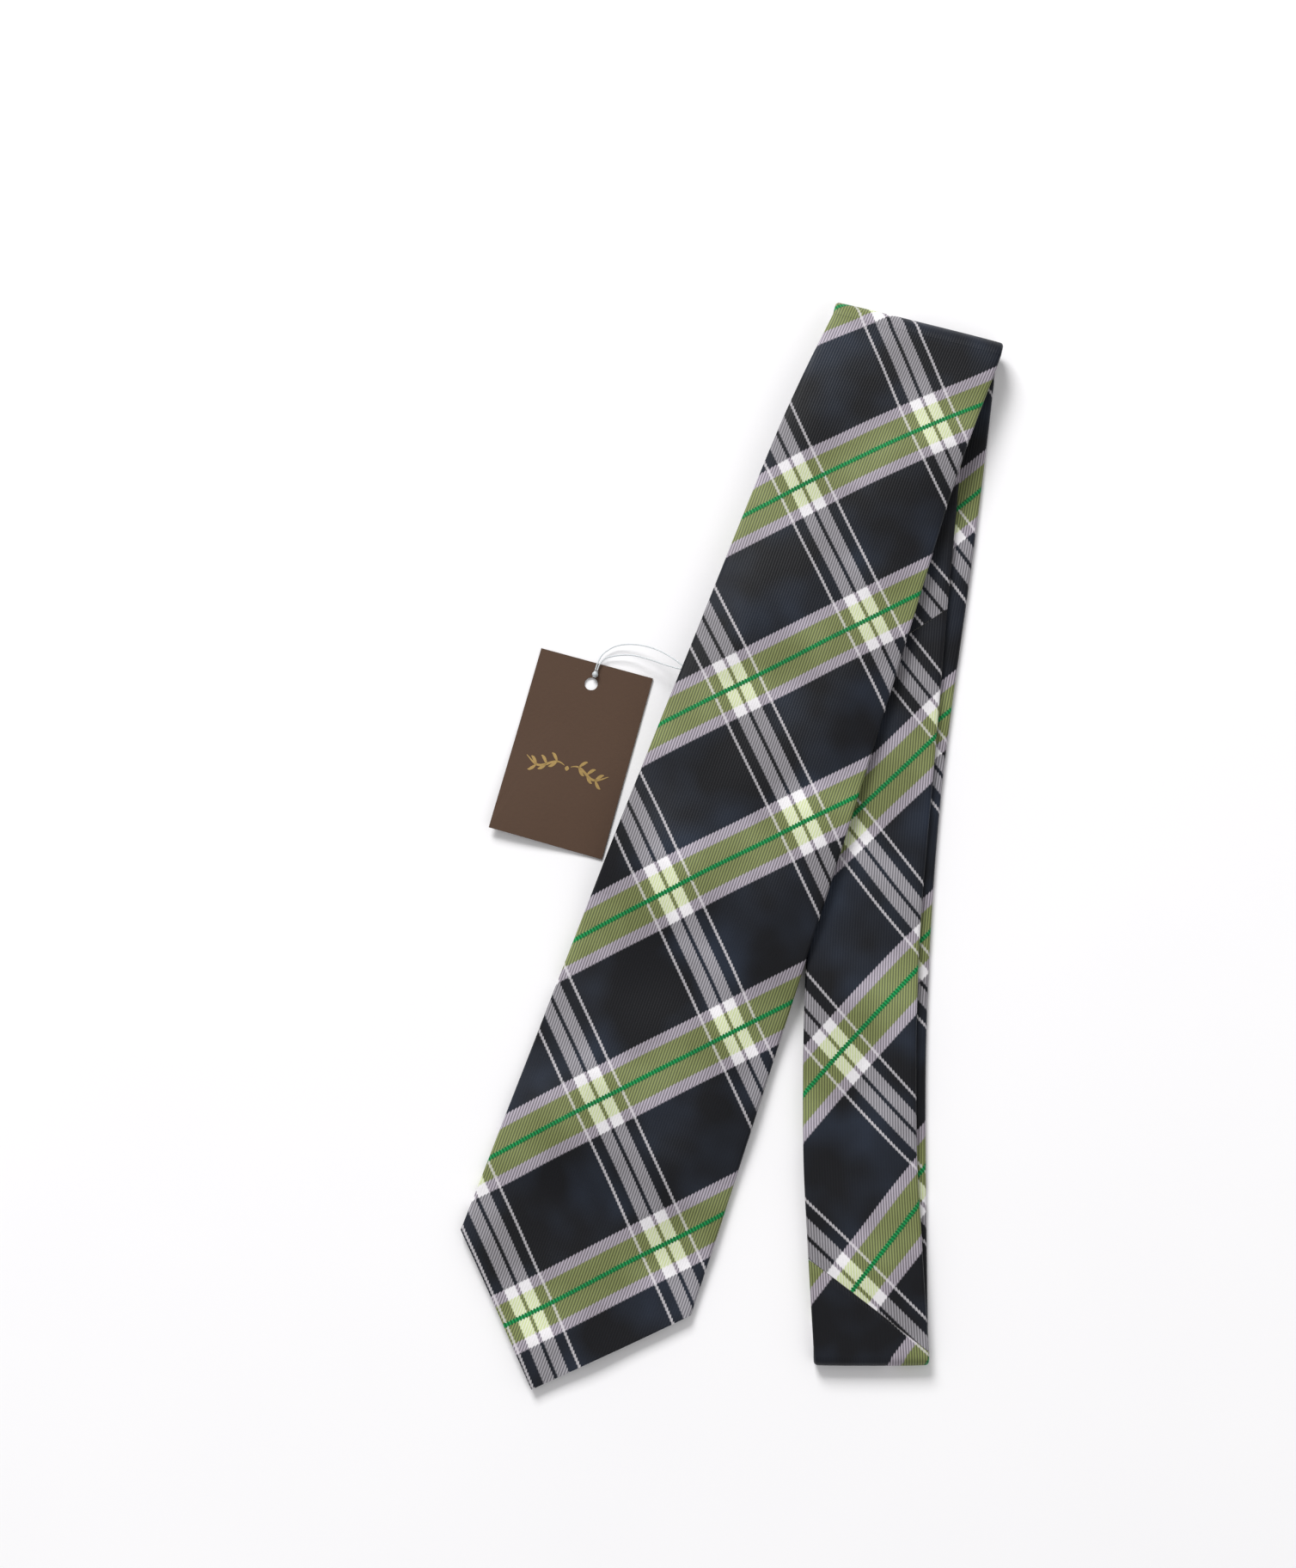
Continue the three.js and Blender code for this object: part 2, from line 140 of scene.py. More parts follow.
class Dye:
    """A material and its node tree."""

    def __init__(self, name: str) -> None:
        """Starts an empty material with its output and one Principled shader."""
        self.material = bpy.data.materials.new(name)
        self.material.use_nodes = True
        self.tree = self.material.node_tree
        self.tree.nodes.clear()
        self.output = self.tree.nodes.new("ShaderNodeOutputMaterial")
        self.shader = self.tree.nodes.new("ShaderNodeBsdfPrincipled")
        self.tree.links.new(self.shader.outputs[0], self.output.inputs[0])

    def node(self, kind: str, settings: dict, inputs: dict, output: int | str = 0) -> Wire:
        """Adds one node.

        Args:
            kind: the node's type.
            settings: its own settings, set first; "stops" holds a ramp's places and colours.
            inputs: a value or a Wire for each socket.
            output: the output that is passed on.

        Returns:
            The node's output as a Wire.
        """
        made = self.tree.nodes.new(kind)
        for key, value in settings.items():
            if key == "stops":
                for element, (place, colour) in zip(self._stops(made, len(value)), value):
                    element.position = place
                    element.color = colour
            else:
                setattr(made, key, value)
        for key, value in inputs.items():
            self.join(made.inputs[key], value)
        return Wire(self, made.outputs[output])

    @staticmethod
    def _stops(ramp: bpy.types.Node, count: int) -> list:
        """A ramp's stops, as many as asked."""
        elements = ramp.color_ramp.elements
        while len(elements) < count:
            elements.new(0.5)
        return list(elements)

    def join(self, socket: bpy.types.NodeSocket, value: "Wire | float | tuple") -> None:
        """Sets a socket to a value, or links a Wire to it."""
        if isinstance(value, Wire):
            self.tree.links.new(value.socket, socket)
        else:
            socket.default_value = value

    def blend(self, factor: "Wire | float", a: "Wire | tuple", b: "Wire | tuple", how: str = "MIX") -> Wire:
        """Mixes two colours."""
        settings = {"data_type": "RGBA", "blend_type": how}
        return self.node("ShaderNodeMix", settings, {0: factor, 6: a, 7: b}, 2)

    def noise(self, scale: float, detail: float = 2.0, where: "Wire | None" = None) -> Wire:
        """Noise at a scale per metre, from 0 to 1."""
        place = where or self.node("ShaderNodeTexCoord", {}, {}, "Object")
        return self.node("ShaderNodeTexNoise", {}, {"Vector": place, "Scale": scale, "Detail": detail})

    def finish(self, colour: "Wire | tuple", roughness: "Wire | float", height: "Wire | None" = None,
               relief: float = 0.0001, **fixed: float) -> bpy.types.Material:
        """Joins the surface up.

        Args:
            colour: the base colour.
            roughness: how rough it is.
            height: the bump, from 0 to 1.
            relief: the bump's depth in metres.
            fixed: values for the shader's other sockets, with _ for a space.

        Returns:
            The finished material.
        """
        self.join(self.shader.inputs["Base Color"], colour)
        self.join(self.shader.inputs["Roughness"], roughness)
        if height is not None:
            bump = self.node("ShaderNodeBump", {}, {"Height": height, "Distance": relief, "Strength": 1.0})
            self.join(self.shader.inputs["Normal"], bump)
        for key, value in fixed.items():
            self.join(self.shader.inputs[key.replace("_", " ")], value)
        return self.material


def srgb(red: int, green: int, blue: int) -> tuple[float, float, float, float]:
    """A colour written as on a dyer's card, as linear light."""
    def linear(c: float) -> float:
        """One channel."""
        return c / 12.92 if c <= 0.04045 else ((c + 0.055) / 1.055) ** 2.4
    return (linear(red / 255), linear(green / 255), linear(blue / 255), 1.0)


@dataclass(frozen=True)
class PlaidTwill:
    """Bias-cut satin twill with a windowpane plaid: green-cored weft bands over double white warp stripes.

    Slopes and phases are in the leg's own straight coordinates: distance along it per distance across it.
    """

    name: str = "plaid_twill"
    weft_slope: float = 1.06
    warp_slope: float = 1.01
    weft_phase: float = 49.7
    warp_phase: float = 331.0
    weft_pitch: float = 55.5
    warp_pitch: float = 54.0
    rib: float = 0.95
    twist: float = 1.15
    weft_share: float = 0.48
    band_half: float = 11.1
    olive_half: float = 7.2
    core_half: float = 0.8
    thin_half: float = 0.44
    thin_apart: float = 17.9
    block_edges: tuple = ((4.1, 8.3), (9.6, 13.8))
    edge_soft: float = 0.35
    navy: tuple = srgb(13, 14, 20)
    # Painted sheen: the blue-grey that the navy ground is lightened to in soft patches, where the satin would
    # catch the light.
    sheen_navy: tuple = srgb(36, 44, 58)
    white_weft: tuple = srgb(228, 217, 230)
    white_warp: tuple = srgb(196, 192, 198)
    thin_white: tuple = srgb(214, 210, 214)
    crossing_white: tuple = srgb(246, 243, 246)
    crossing_olive: tuple = srgb(204, 219, 140)
    olive: tuple = srgb(172, 182, 114)
    green: tuple = srgb(10, 158, 84)

    def make(self) -> bpy.types.Material:
        """Builds the material.

        Returns:
            The plaid as a material that reads the leg's cloth map.
        """
        dye = Dye(self.name)
        at = dye.node("ShaderNodeUVMap", {"uv_map": "Cloth"}, {})
        across = dye.node("ShaderNodeSeparateXYZ", {}, {0: at}, 0) * 100.0
        along = dye.node("ShaderNodeSeparateXYZ", {}, {0: at}, 1) * 100.0
        wander = (dye.noise(2.2, 1.0, at) - 0.5) * 1.1
        weft_run = math.cos(math.atan(self.weft_slope))
        warp_run = math.cos(math.atan(self.warp_slope))
        weft = ((along + across * self.weft_slope - self.weft_phase) * weft_run + wander
                + self.weft_pitch / 2).repeat(self.weft_pitch) - self.weft_pitch / 2
        warp = ((self.warp_phase - along + across * self.warp_slope) * warp_run + wander
                + 10.0).repeat(self.warp_pitch) - 10.0
        thread_run = (across - along * self.weft_slope) * weft_run
        strand = (thread_run * (2 * math.pi / self.twist)).wave()
        rib = (across * (2 * math.pi / self.rib)).wave() * 0.5 + 0.5
        step = (rib - 0.5) * 0.35
        band = (weft + step).size().band(-1.0, self.band_half, self.edge_soft)
        olive = (weft + step).size().band(-1.0, self.olive_half, self.edge_soft)
        core = (weft.size() + strand * 0.22).band(-1.0, self.core_half, 0.3)
        left_thin = (warp + step).size().band(-1.0, self.thin_half, 0.3)
        right_thin = (warp + step - self.thin_apart).size().band(-1.0, self.thin_half, 0.3)
        thin = left_thin.larger(right_thin)
        left_block, right_block = (
            (warp + step).band(low, high, self.edge_soft) for low, high in self.block_edges
        )
        block = left_block.larger(right_block)
        # Painted sheen: soft patches about 30 mm across. The navy ground is lightened there and the whole
        # plaid made brighter, and the cloth is also a little smoother there.
        cloud = ((dye.noise(3.2, 2.0, at) - 0.42) * 3.2).clear()
        painted_sheen_ground = dye.blend(cloud, self.navy, self.sheen_navy)
        crossing = block * band
        white_weft = dye.blend(block, self.white_weft, self.crossing_white)
        olive_weft = dye.blend(block, self.olive, self.crossing_olive)
        white_warp = dye.blend(crossing, self.white_warp, self.crossing_white)
        weft_yarn = dye.blend(olive, dye.blend(band, painted_sheen_ground, white_weft), olive_weft)
        warp_yarn = dye.blend(thin, dye.blend(block, painted_sheen_ground, white_warp), self.thin_white)
        over = ((rib - 0.5) * 0.52 + self.weft_share + crossing * 0.12).clear()
        over = over * (1 - thin * 0.40)
        speck = dye.noise(90.0, 2.0, at)
        colour = dye.blend(over, warp_yarn, weft_yarn)
        twisted = dye.blend(strand * 0.5 + 0.5, srgb(2, 92, 44), self.green)
        colour = dye.blend(core, colour, twisted)
        # Painted sheen: the whole colour is lightened where the sheen patches lie. The speck adds a fine
        # random tone.
        painted_sheen_and_speck = 0.70 + cloud * 0.34 + speck * 0.12
        sheen_and_speck_grey = dye.node("ShaderNodeCombineColor", {}, {0: painted_sheen_and_speck, 1: painted_sheen_and_speck, 2: painted_sheen_and_speck})
        colour = dye.blend(1.0, colour, sheen_and_speck_grey, "MULTIPLY")
        cross = ((along + across) * (2 * math.pi / 0.5)).wave() * 0.12
        height = rib * 0.8 + cross + core * (1.4 + strand * 0.4) + speck * 0.3
        rough = 0.46 - cloud * 0.06 + speck * 0.10
        return dye.finish(colour, rough, height, 0.00006, Sheen_Weight=0.015, Sheen_Roughness=0.3,
                          Sheen_Tint=srgb(150, 165, 185), Specular_IOR_Level=0.22)


@dataclass(frozen=True)
class PlainCloth:
    """A plain cloth with a fine weave: lining, felt, thread or ribbon."""

    name: str
    colour: tuple
    grain: float
    rough: float
    relief: float = 0.00006

    def make(self) -> bpy.types.Material:
        """Builds the material and returns it."""
        dye = Dye(self.name)
        place = dye.node("ShaderNodeTexCoord", {}, {}, "Object")
        x = dye.node("ShaderNodeSeparateXYZ", {}, {0: place}, 0)
        y = dye.node("ShaderNodeSeparateXYZ", {}, {0: place}, 1)
        step = 2 * math.pi / (self.grain * MM)
        weave = ((x * step).wave() * (y * step).wave()) * 0.5 + 0.5
        cloud = dye.noise(180.0, 4.0)
        dark = tuple(c * 0.6 for c in self.colour[:3]) + (1.0,)
        colour = dye.blend(weave * 0.5 + cloud * 0.5, dark, self.colour)
        return dye.finish(colour, self.rough + cloud * 0.12, weave + cloud * 0.5, self.relief,
                          Specular_IOR_Level=0.25)


@dataclass(frozen=True)
class TagCard:
    """Matt brown card with a faint fibre."""

    name: str = "tag_card"
    colour: tuple = srgb(78, 58, 46)
    fibre: tuple = srgb(88, 68, 54)

    def make(self) -> bpy.types.Material:
        """Builds the material and returns it."""
        dye = Dye(self.name)
        fibre = dye.noise(900.0, 6.0)
        cloud = dye.noise(60.0, 3.0)
        colour = dye.blend(fibre * 0.6 + cloud * 0.3, self.colour, self.fibre)
        return dye.finish(colour, 0.72 + fibre * 0.15, fibre, 0.00005, Specular_IOR_Level=0.25)


@dataclass(frozen=True)
class GoldFoil:
    """Gold foil pressed into card."""

    name: str = "gold_foil"

    def make(self) -> bpy.types.Material:
        """Builds the material and returns it."""
        dye = Dye(self.name)
        grain = dye.noise(1500.0, 4.0)
        colour = dye.blend(grain, srgb(146, 118, 66), srgb(176, 148, 92))
        return dye.finish(colour, 0.42 + grain * 0.25, grain, 0.00003, Metallic=0.45)


@dataclass(frozen=True)
class ClearNylon:
    """Clear nylon, slightly milky where it is thick."""

    name: str = "clear_nylon"

    def make(self) -> bpy.types.Material:
        """Builds the material and returns it."""
        dye = Dye(self.name)
        cloud = dye.noise(700.0, 2.0)
        colour = dye.blend(cloud, srgb(205, 212, 216), srgb(240, 244, 246))
        return dye.finish(colour, 0.12 + cloud * 0.15, cloud, 0.00002, Transmission_Weight=0.3, IOR=1.4)


@dataclass(frozen=True)
class PaleFloor:
    """The plain pale surface under the tie."""

    name: str = "pale_floor"

    def make(self) -> bpy.types.Material:
        """Builds the material and returns it."""
        dye = Dye(self.name)
        cloud = dye.noise(6.0, 2.0)
        colour = dye.blend(cloud, srgb(246, 245, 247), srgb(252, 251, 252))
        return dye.finish(colour, 0.9)


# ---- mesh building ----


def build_mesh(name: str, points: np.ndarray, faces: list, cloth_map: np.ndarray | None = None,
               flat: bool = False) -> bpy.types.Object:
    """Makes a mesh object with its faces turned outwards.

    Args:
        name: the piece's name.
        points: its points in millimetres.
        faces: lists of point numbers.
        cloth_map: for each point, where it lies on the flat cloth, in millimetres.
        flat: True leaves the faces unsmoothed.

    Returns:
        The new object, in the scene.
    """
    mesh = bpy.data.meshes.new(name)
    mesh.from_pydata((points * MM).tolist(), [], faces)
    mesh.update()
    worked = bmesh.new()
    worked.from_mesh(mesh)
    bmesh.ops.recalc_face_normals(worked, faces=worked.faces)
    worked.to_mesh(mesh)
    worked.free()
    if cloth_map is not None:
        layer = mesh.uv_layers.new(name="Cloth")
        corners = np.array([loop.vertex_index for loop in mesh.loops])
        layer.uv.foreach_set("vector", (cloth_map[corners] * 0.01).astype(np.float32).ravel())
    mesh.polygons.foreach_set("use_smooth", [not flat] * len(mesh.polygons))
    if not flat:
        mesh.set_sharp_from_angle(angle=math.radians(50.0))
    made = bpy.data.objects.new(name, mesh)
    bpy.context.scene.collection.objects.link(made)
    return made


def ring_faces(rows: int, count: int, closed: bool = False) -> list:
    """The four-sided faces between rings of points.

    Args:
        rows: how many rings there are.
        count: how many points each ring has.
        closed: True joins the last ring to the first.

    Returns:
        Lists of point numbers.
    """
    return [
        (i * count + j, i * count + (j + 1) % count,
         (i + 1) % rows * count + (j + 1) % count, (i + 1) % rows * count + j)
        for i in range(rows if closed else rows - 1) for j in range(count)
    ]


def end_faces(rows: int, count: int) -> list:
    """The faces that close the first and last ring of a thin section, across its wall."""
    return [
        (first + j, first + j + 1, first + count - 2 - j, first + count - 1 - j)
        for first in (0, (rows - 1) * count) for j in range(count // 2 - 1)
    ]


def wear(piece: bpy.types.Object, material: bpy.types.Material, body: str, node: str) -> bpy.types.Object:
    """Dresses a piece, lets it ride on its body, and puts it in a solid's place.

    Args:
        piece: the piece.
        material: its finish.
        body: the body that it rides on.
        node: the solid that it stands for.

    Returns:
        The same piece.
    """
    piece.data.materials.append(material)
    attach(piece, body)
    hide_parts(node)
    return piece


@dataclass
class Route:
    """A smooth plan route through points, measured by length."""

    points: list[tuple[float, float]]

    def __post_init__(self) -> None:
        """Samples the route finely."""
        held = np.array(self.points, float)
        held = np.vstack([2 * held[0] - held[1], held, 2 * held[-1] - held[-2]])
        rows = [self.stretch(held[i - 1:i + 3]) for i in range(1, len(held) - 2)]
        self.fine = np.vstack([*rows, held[-2:-1]])
        steps = np.linalg.norm(np.diff(self.fine, axis=0), axis=1)
        self.run = np.concatenate([[0.0], np.cumsum(steps)])
        self.length = float(self.run[-1])

    @staticmethod
    def stretch(four: np.ndarray, count: int = 60) -> np.ndarray:
        """Points of one stretch of a centripetal curve between the middle two of four points."""
        knots = np.concatenate([[0.0], np.cumsum(np.linalg.norm(np.diff(four, axis=0), axis=1) ** 0.5)])
        t = np.linspace(knots[1], knots[2], count, endpoint=False)[:, None]
        level = list(four)
        for order in (1, 2, 3):
            level = [
                ((hi - t) * a + (t - lo) * b) / (hi - lo)
                for a, b, lo, hi in (
                    (level[k], level[k + 1], *knot_span(knots, k, order)) for k in range(len(level) - 1)
                )
            ]
        return level[0]

    def at(self, along: float) -> tuple[np.ndarray, np.ndarray]:
        """The plan place and heading at a distance along the route, straight on beyond its ends."""
        held = min(max(along, 0.0), self.length)
        x, y = (np.interp(held, self.run, self.fine[:, k]) for k in (0, 1))
        step = 1.5
        a, b = max(held - step, 0.0), min(held + step, self.length)
        ends = [np.array([np.interp(s, self.run, self.fine[:, k]) for k in (0, 1)]) for s in (a, b)]
        heading = (ends[1] - ends[0]) / np.linalg.norm(ends[1] - ends[0])
        return np.array([x, y]) + heading * (along - held), heading


def knot_span(knots: np.ndarray, first: int, order: int) -> tuple[float, float]:
    """The stretch of knots that one step of the curve's blending runs over."""
    spans = {1: (first, first + 1), 2: (first, first + 2), 3: (1, 2)}
    low, high = spans[order]
    return float(knots[low]), float(knots[high])


@dataclass
class Cloth:
    """The tie's folded section: two thicknesses of shell cloth round a soft interlining."""

    shell: float = 0.5
    felt: float = 1.0
    ease: float = 0.3
    back_gap: float = 0.7
    crown: float = 0.22

    @property
    def thick(self) -> float:
        """The whole leg's thickness."""
        return 2 * self.shell + self.felt + 2 * self.ease

    def section(self, half: float, opening: float) -> tuple[np.ndarray, np.ndarray, np.ndarray]:
        """The section of a leg with its front up.

        Args:
            half: half the leg's width.
            opening: half the gap between its back flaps.

        Returns:
            The outer points, the inner points, and each one's place across the flat cloth.
        """
        r = self.thick / 2
        flap = np.linspace(opening, half - r, 9)
        turn = np.linspace(-math.pi / 2, math.pi / 2, 8)[1:-1]
        top = np.linspace(half - r, 0, 15)
        wall = self.shell

        def side(offset: float) -> np.ndarray:
            """One half of the section, offset inwards."""
            small = r - offset
            arc = np.c_[half - r + small * np.cos(turn), r + small * np.sin(turn)]
            rise = self.crown * (1 - (top / (half - r)) ** 4)
            return np.vstack([
                np.c_[flap, np.full(len(flap), offset)],
                arc,
                np.c_[top, self.thick - offset + rise],
            ])

        outer, inner = side(0.0), side(wall)
        run = np.concatenate([[0.0], np.cumsum(np.linalg.norm(np.diff(outer, axis=0), axis=1))])
        flat = run[-1] - run
        mirror = outer[-2::-1] * [-1, 1]
        mirror_in = inner[-2::-1] * [-1, 1]
        return (np.vstack([outer, mirror]), np.vstack([inner, mirror_in]),
                np.concatenate([flat, -flat[-2::-1]]))

    def felt_section(self, half: float) -> tuple[np.ndarray, np.ndarray, np.ndarray]:
        """The interlining's section, as its upper points, its lower points and their places across."""
        across = np.linspace(half - FELT_INSET, FELT_INSET - half, 21)
        low = self.shell + self.ease
        upper = np.c_[across, np.full(len(across), low + self.felt)]
        return upper, np.c_[across, np.full(len(across), low)], across


CLOTH = Cloth()
FELT_INSET = 1.5
WIDE_GAP = 1.0
LEVEL_2 = 0.0
LEVEL_3 = LEVEL_2 + CLOTH.thick + WIDE_GAP
LEVEL_4 = LEVEL_3 + CLOTH.thick + CLOTH.ease
LEVEL_1 = LEVEL_4 + CLOTH.thick + WIDE_GAP
FOLD_AXIS = (LEVEL_1 + CLOTH.thick) / 2
NECK_AXIS = LEVEL_3 - WIDE_GAP / 2
FOLD_MIDDLE = (66.9, 184.84)
FOLD_ANGLE = math.radians(-14.55)
NECK_MIDDLE = (45.8, -187.25)
FLOOR_DROP = 0.25
LEG_START = 0.05
HEM = 7.0
POINT_RUN = 20.0
BACK_OPENING = 92.0
TURN = 70.0
TAIL_REST = 0.75
TAIL_DROP = (169.0, 232.0)
BLADE_DROP = (205.0, 268.0)
BLADE_LENGTH = 365.2
TAIL_LENGTH = 287.0
TAIL_TIP = TAIL_LENGTH + 24.0
LINING_LENGTH = 66.0
LINING_INSET = 0.7
KEEPER_FROM = 243.0
KEEPER_WIDTH = 12.0
TACK_ABOVE = 86.0
LABEL_FROM = 191.0
TAIL_SEAM = 118.2
NECK_SEAM = 355.5
SEAM_SLOPE = 0.81
SEAM_PINCH = 0.35
SEAM_SHARE = 12
FOLD_WIDTH = 63.5
BLADE_WIDTH = 87.0
NECK_WIDTH = 40.5
TAIL_FOLD_WIDTH = 43.0
TAIL_WIDTH = 48.0

BLADE_ROUTE = Route([
    FOLD_MIDDLE, (51, 147.15), (15.8, 48.85), (-25.2, -65.25), (-58.2, -157.35), (-73.5, -198.05),
])
LOWER_ROUTE = Route([
    FOLD_MIDDLE, (59.6, 111.85), (49.7, 16.25), (46.1, -66.75), (45.9, -133.75), NECK_MIDDLE,
])
NECK_ROUTE = Route([
    FOLD_MIDDLE, (60.7, 128.25), (51.3, 30.25), (44.3, -46.75), (42.6, -112.75), (43.9, -148.75), NECK_MIDDLE,
])


def blade_width(s: float) -> float:
    """The blade's width by distance from the quarter fold."""
    t = min(max(s / BLADE_LENGTH, 0.0), 1.0)
    return FOLD_WIDTH + (BLADE_WIDTH - FOLD_WIDTH) * (t + 0.4 * t * (1 - t))


def lower_width(s: float) -> float:
    """The blade leg's lower half, narrowing towards the neck."""
    return mix(FOLD_WIDTH, NECK_WIDTH, smooth(s, -60, 330))


def neck_width(s: float) -> float:
    """The neck leg's width."""
    return mix(TAIL_FOLD_WIDTH, NECK_WIDTH, smooth(s, 0, 240))


def tail_width(s: float) -> float:
    """The tail's width."""
    return mix(TAIL_FOLD_WIDTH, TAIL_WIDTH, smooth(s, 0, TAIL_LENGTH))


def tail_level(s: float) -> float:
    """How high the tail lies: on the lower half, then on the surface."""
    return mix(LEVEL_4, TAIL_REST, smooth(s, *TAIL_DROP))


def blade_level(s: float) -> float:
    """How high the blade lies: over the tail, then down on the surface at its point."""
    on_tail = TAIL_REST + CLOTH.thick + WIDE_GAP
    stepped = mix(LEVEL_1, on_tail, smooth(s, *BLADE_DROP))
    return stepped * (1 - smooth(s, TAIL_TIP + 4, BLADE_LENGTH - POINT_RUN))


def blade_drape(s: float, x: float) -> float:
    """How far the blade's cloth lies from its level: edges droop past the tail, with slow ripples."""
    past_tail = smooth(abs(x), 20.0, 46.0)
    deep = min(2.2 * smooth(s, 0, 90) + 2.4 * smooth(s, 230, 290), max(blade_level(s) - 0.2, 0.0))
    slow = math.sin(s / 11.0 + x / 19.0 + 1.3) * math.sin(s / 37.0 - x / 12.0 + 0.4)
    quick = math.sin(s / 7.5 - x / 6.0 + 2.1) * math.sin(s / 29.0 + x / 23.0)
    return (0.78 + 0.62 * slow + 0.14 * quick) * smooth(s, 4, 50) - deep * past_tail


def neck_drape(s: float, x: float) -> float:
    """Slow ripples in the neck leg where nothing lies on it."""
    ripple = 0.5 + 0.5 * math.sin(s / 9.0 + x / 13.0) * math.sin(s / 31.0 - x / 9.0)
    return 0.6 * ripple * smooth(s, 200, 250) * (1 - smooth(s, 345, 368))


def level_cloth(s: float, x: float) -> float:
    """A leg that lies level."""
    return 0.0


@dataclass
class Leg:
    """One run of the tie between two folds, or between a fold and a point."""

    route: Route
    width: Callable[[float], float]
    level: Callable[[float], float]
    facing: Facing
    drape: Callable[[float, float], float] = level_cloth
    to_neck: bool = False
    shoulder: float | None = None

    def place(self, along: float, across: float, height: float) -> np.ndarray:
        """The place of a point in the leg.

        Args:
            along: distance from the quarter fold.
            across: distance from the leg's middle.
            height: height above the leg's underside.

        Returns:
            The point in the row frame, in millimetres.
        """
        plan, heading = self.route.at(along)
        square = np.array([-heading[1], heading[0]])
        side = np.array([math.cos(FOLD_ANGLE), math.sin(FOLD_ANGLE)])
        side = side * math.copysign(1.0, side @ square)
        side = side + (square - side) * smooth(along, 0, TURN)
        side = side / np.linalg.norm(side)
        if self.to_neck:
            turned = smooth(along, self.route.length - TURN, self.route.length)
            side = side + (np.array([1.0, 0.0]) - side) * turned
            side = side / np.linalg.norm(side)
        plan = plan + side * (across / (side @ square))
        return np.array([*plan, self.level(along) + self.drape(along, across) + height])

    def shear(self, along: float) -> float:
        """How far a cross line runs ahead of square, per distance across."""
        a = self.place(along, 0.0, 0.0)[:2]
        b = self.place(along, 1.0, 0.0)[:2]
        _, heading = self.route.at(along)
        return float((b - a) @ heading)

    def opening(self, s: float) -> float:
        """Half the gap between the back flaps, which spread towards a point."""
        if self.shoulder is None:
            return CLOTH.back_gap
        open_share = smooth(s, self.shoulder - BACK_OPENING, self.shoulder)
        return mix(CLOTH.back_gap, self.width(s) / 2 - HEM, open_share)

    def flip(self, height: float) -> float:
        """A height in the section, turned over where the front faces down."""
        return height if self.facing is Facing.UP else CLOTH.thick - height

    def reach(self, s: float, to: float, x: float) -> float:
        """How far a cross line runs ahead at this distance across, to make the 90-degree point."""
        if self.shoulder is None:
            return 0.0
        pointed = min(max((s - self.shoulder + POINT_RUN) / (to - self.shoulder + POINT_RUN), 0.0), 1.0)
        return pointed * (self.width(to) / 2 - abs(x))

    def shell(self, name: str, start: float, end: float, stations: int = 110,
              start_slope: float = 0.0, end_slope: float = 0.0) -> bpy.types.Object:
        """Builds the folded shell between two distances.

        Args:
            name: the piece's name.
            start: where it begins.
            end: where it ends.
            stations: how many sections it has.
            start_slope: the slope of its first edge, for a bias join.
            end_slope: the slope of its last edge.

        Returns:
            The new object.
        """
        points, maps = [], []
        levels = np.linspace(start, end, stations)
        for i, s in enumerate(levels):
            t = i / (stations - 1)
            at_start = max(1 - SEAM_SHARE * t, 0) * bool(start_slope)
            at_end = max(SEAM_SHARE * t - SEAM_SHARE + 1, 0) * bool(end_slope)
            pinch = 1 - SEAM_PINCH * at_start - SEAM_PINCH * at_end
            outer, inner, flat = CLOTH.section(self.width(s) / 2, self.opening(s))
            shear = self.shear(s)
            for ring in (outer, inner[::-1]):
                for k, (x, z) in enumerate(ring):
                    u = flat[k] if ring is outer else flat[::-1][k]
                    along = mix(start + start_slope * x, end + end_slope * x, t) + self.reach(s, end, x)
                    middle = CLOTH.thick / 2
                    points.append(self.place(along, x, self.flip(middle + (z - middle) * pinch)))
                    maps.append((u, along + shear * x))
        count = len(points) // stations
        faces = ring_faces(stations, count) + end_faces(stations, count)
        return build_mesh(name, np.array(points), faces, np.array(maps))

    def panel(self, name: str, start: float, end: float, low: float, high: float,
              edge: Callable[[float], float], stations: int = 60,
              pointed: float | None = None) -> bpy.types.Object:
        """Builds a flat band in the leg, such as its interlining or its lining.

        Args:
            name: the piece's name.
            start: where it begins.
            end: where it ends, before any point.
            low: its lower height in the section with the front up.
            high: its upper height.
            edge: half its width by distance.
            stations: how many sections it has.
            pointed: half its width at the shoulders, where it ends in a point.

        Returns:
            The new object.
        """
        shares = np.linspace(-1, 1, 21)
        points, maps = [], []
        for s in np.linspace(start, end, stations):
            ahead = 0.0
            if pointed is not None:
                ahead = min(max((s - end + POINT_RUN) / POINT_RUN, 0.0), 1.0)
            for share, z in [(q, high) for q in shares] + [(q, low) for q in shares[::-1]]:
                x = share * edge(s)
                along = s + ahead * ((pointed or 0.0) - abs(x))
                lift = CLOTH.crown * 0.8 * (1 - abs(share) ** 4) * (z > CLOTH.shell + 0.01)
                points.append(self.place(along, x, self.flip(z + lift)))
                maps.append((x, along))
        count = 2 * len(shares)
        faces = ring_faces(stations, count) + end_faces(stations, count)
        return build_mesh(name, np.array(points), faces, np.array(maps))


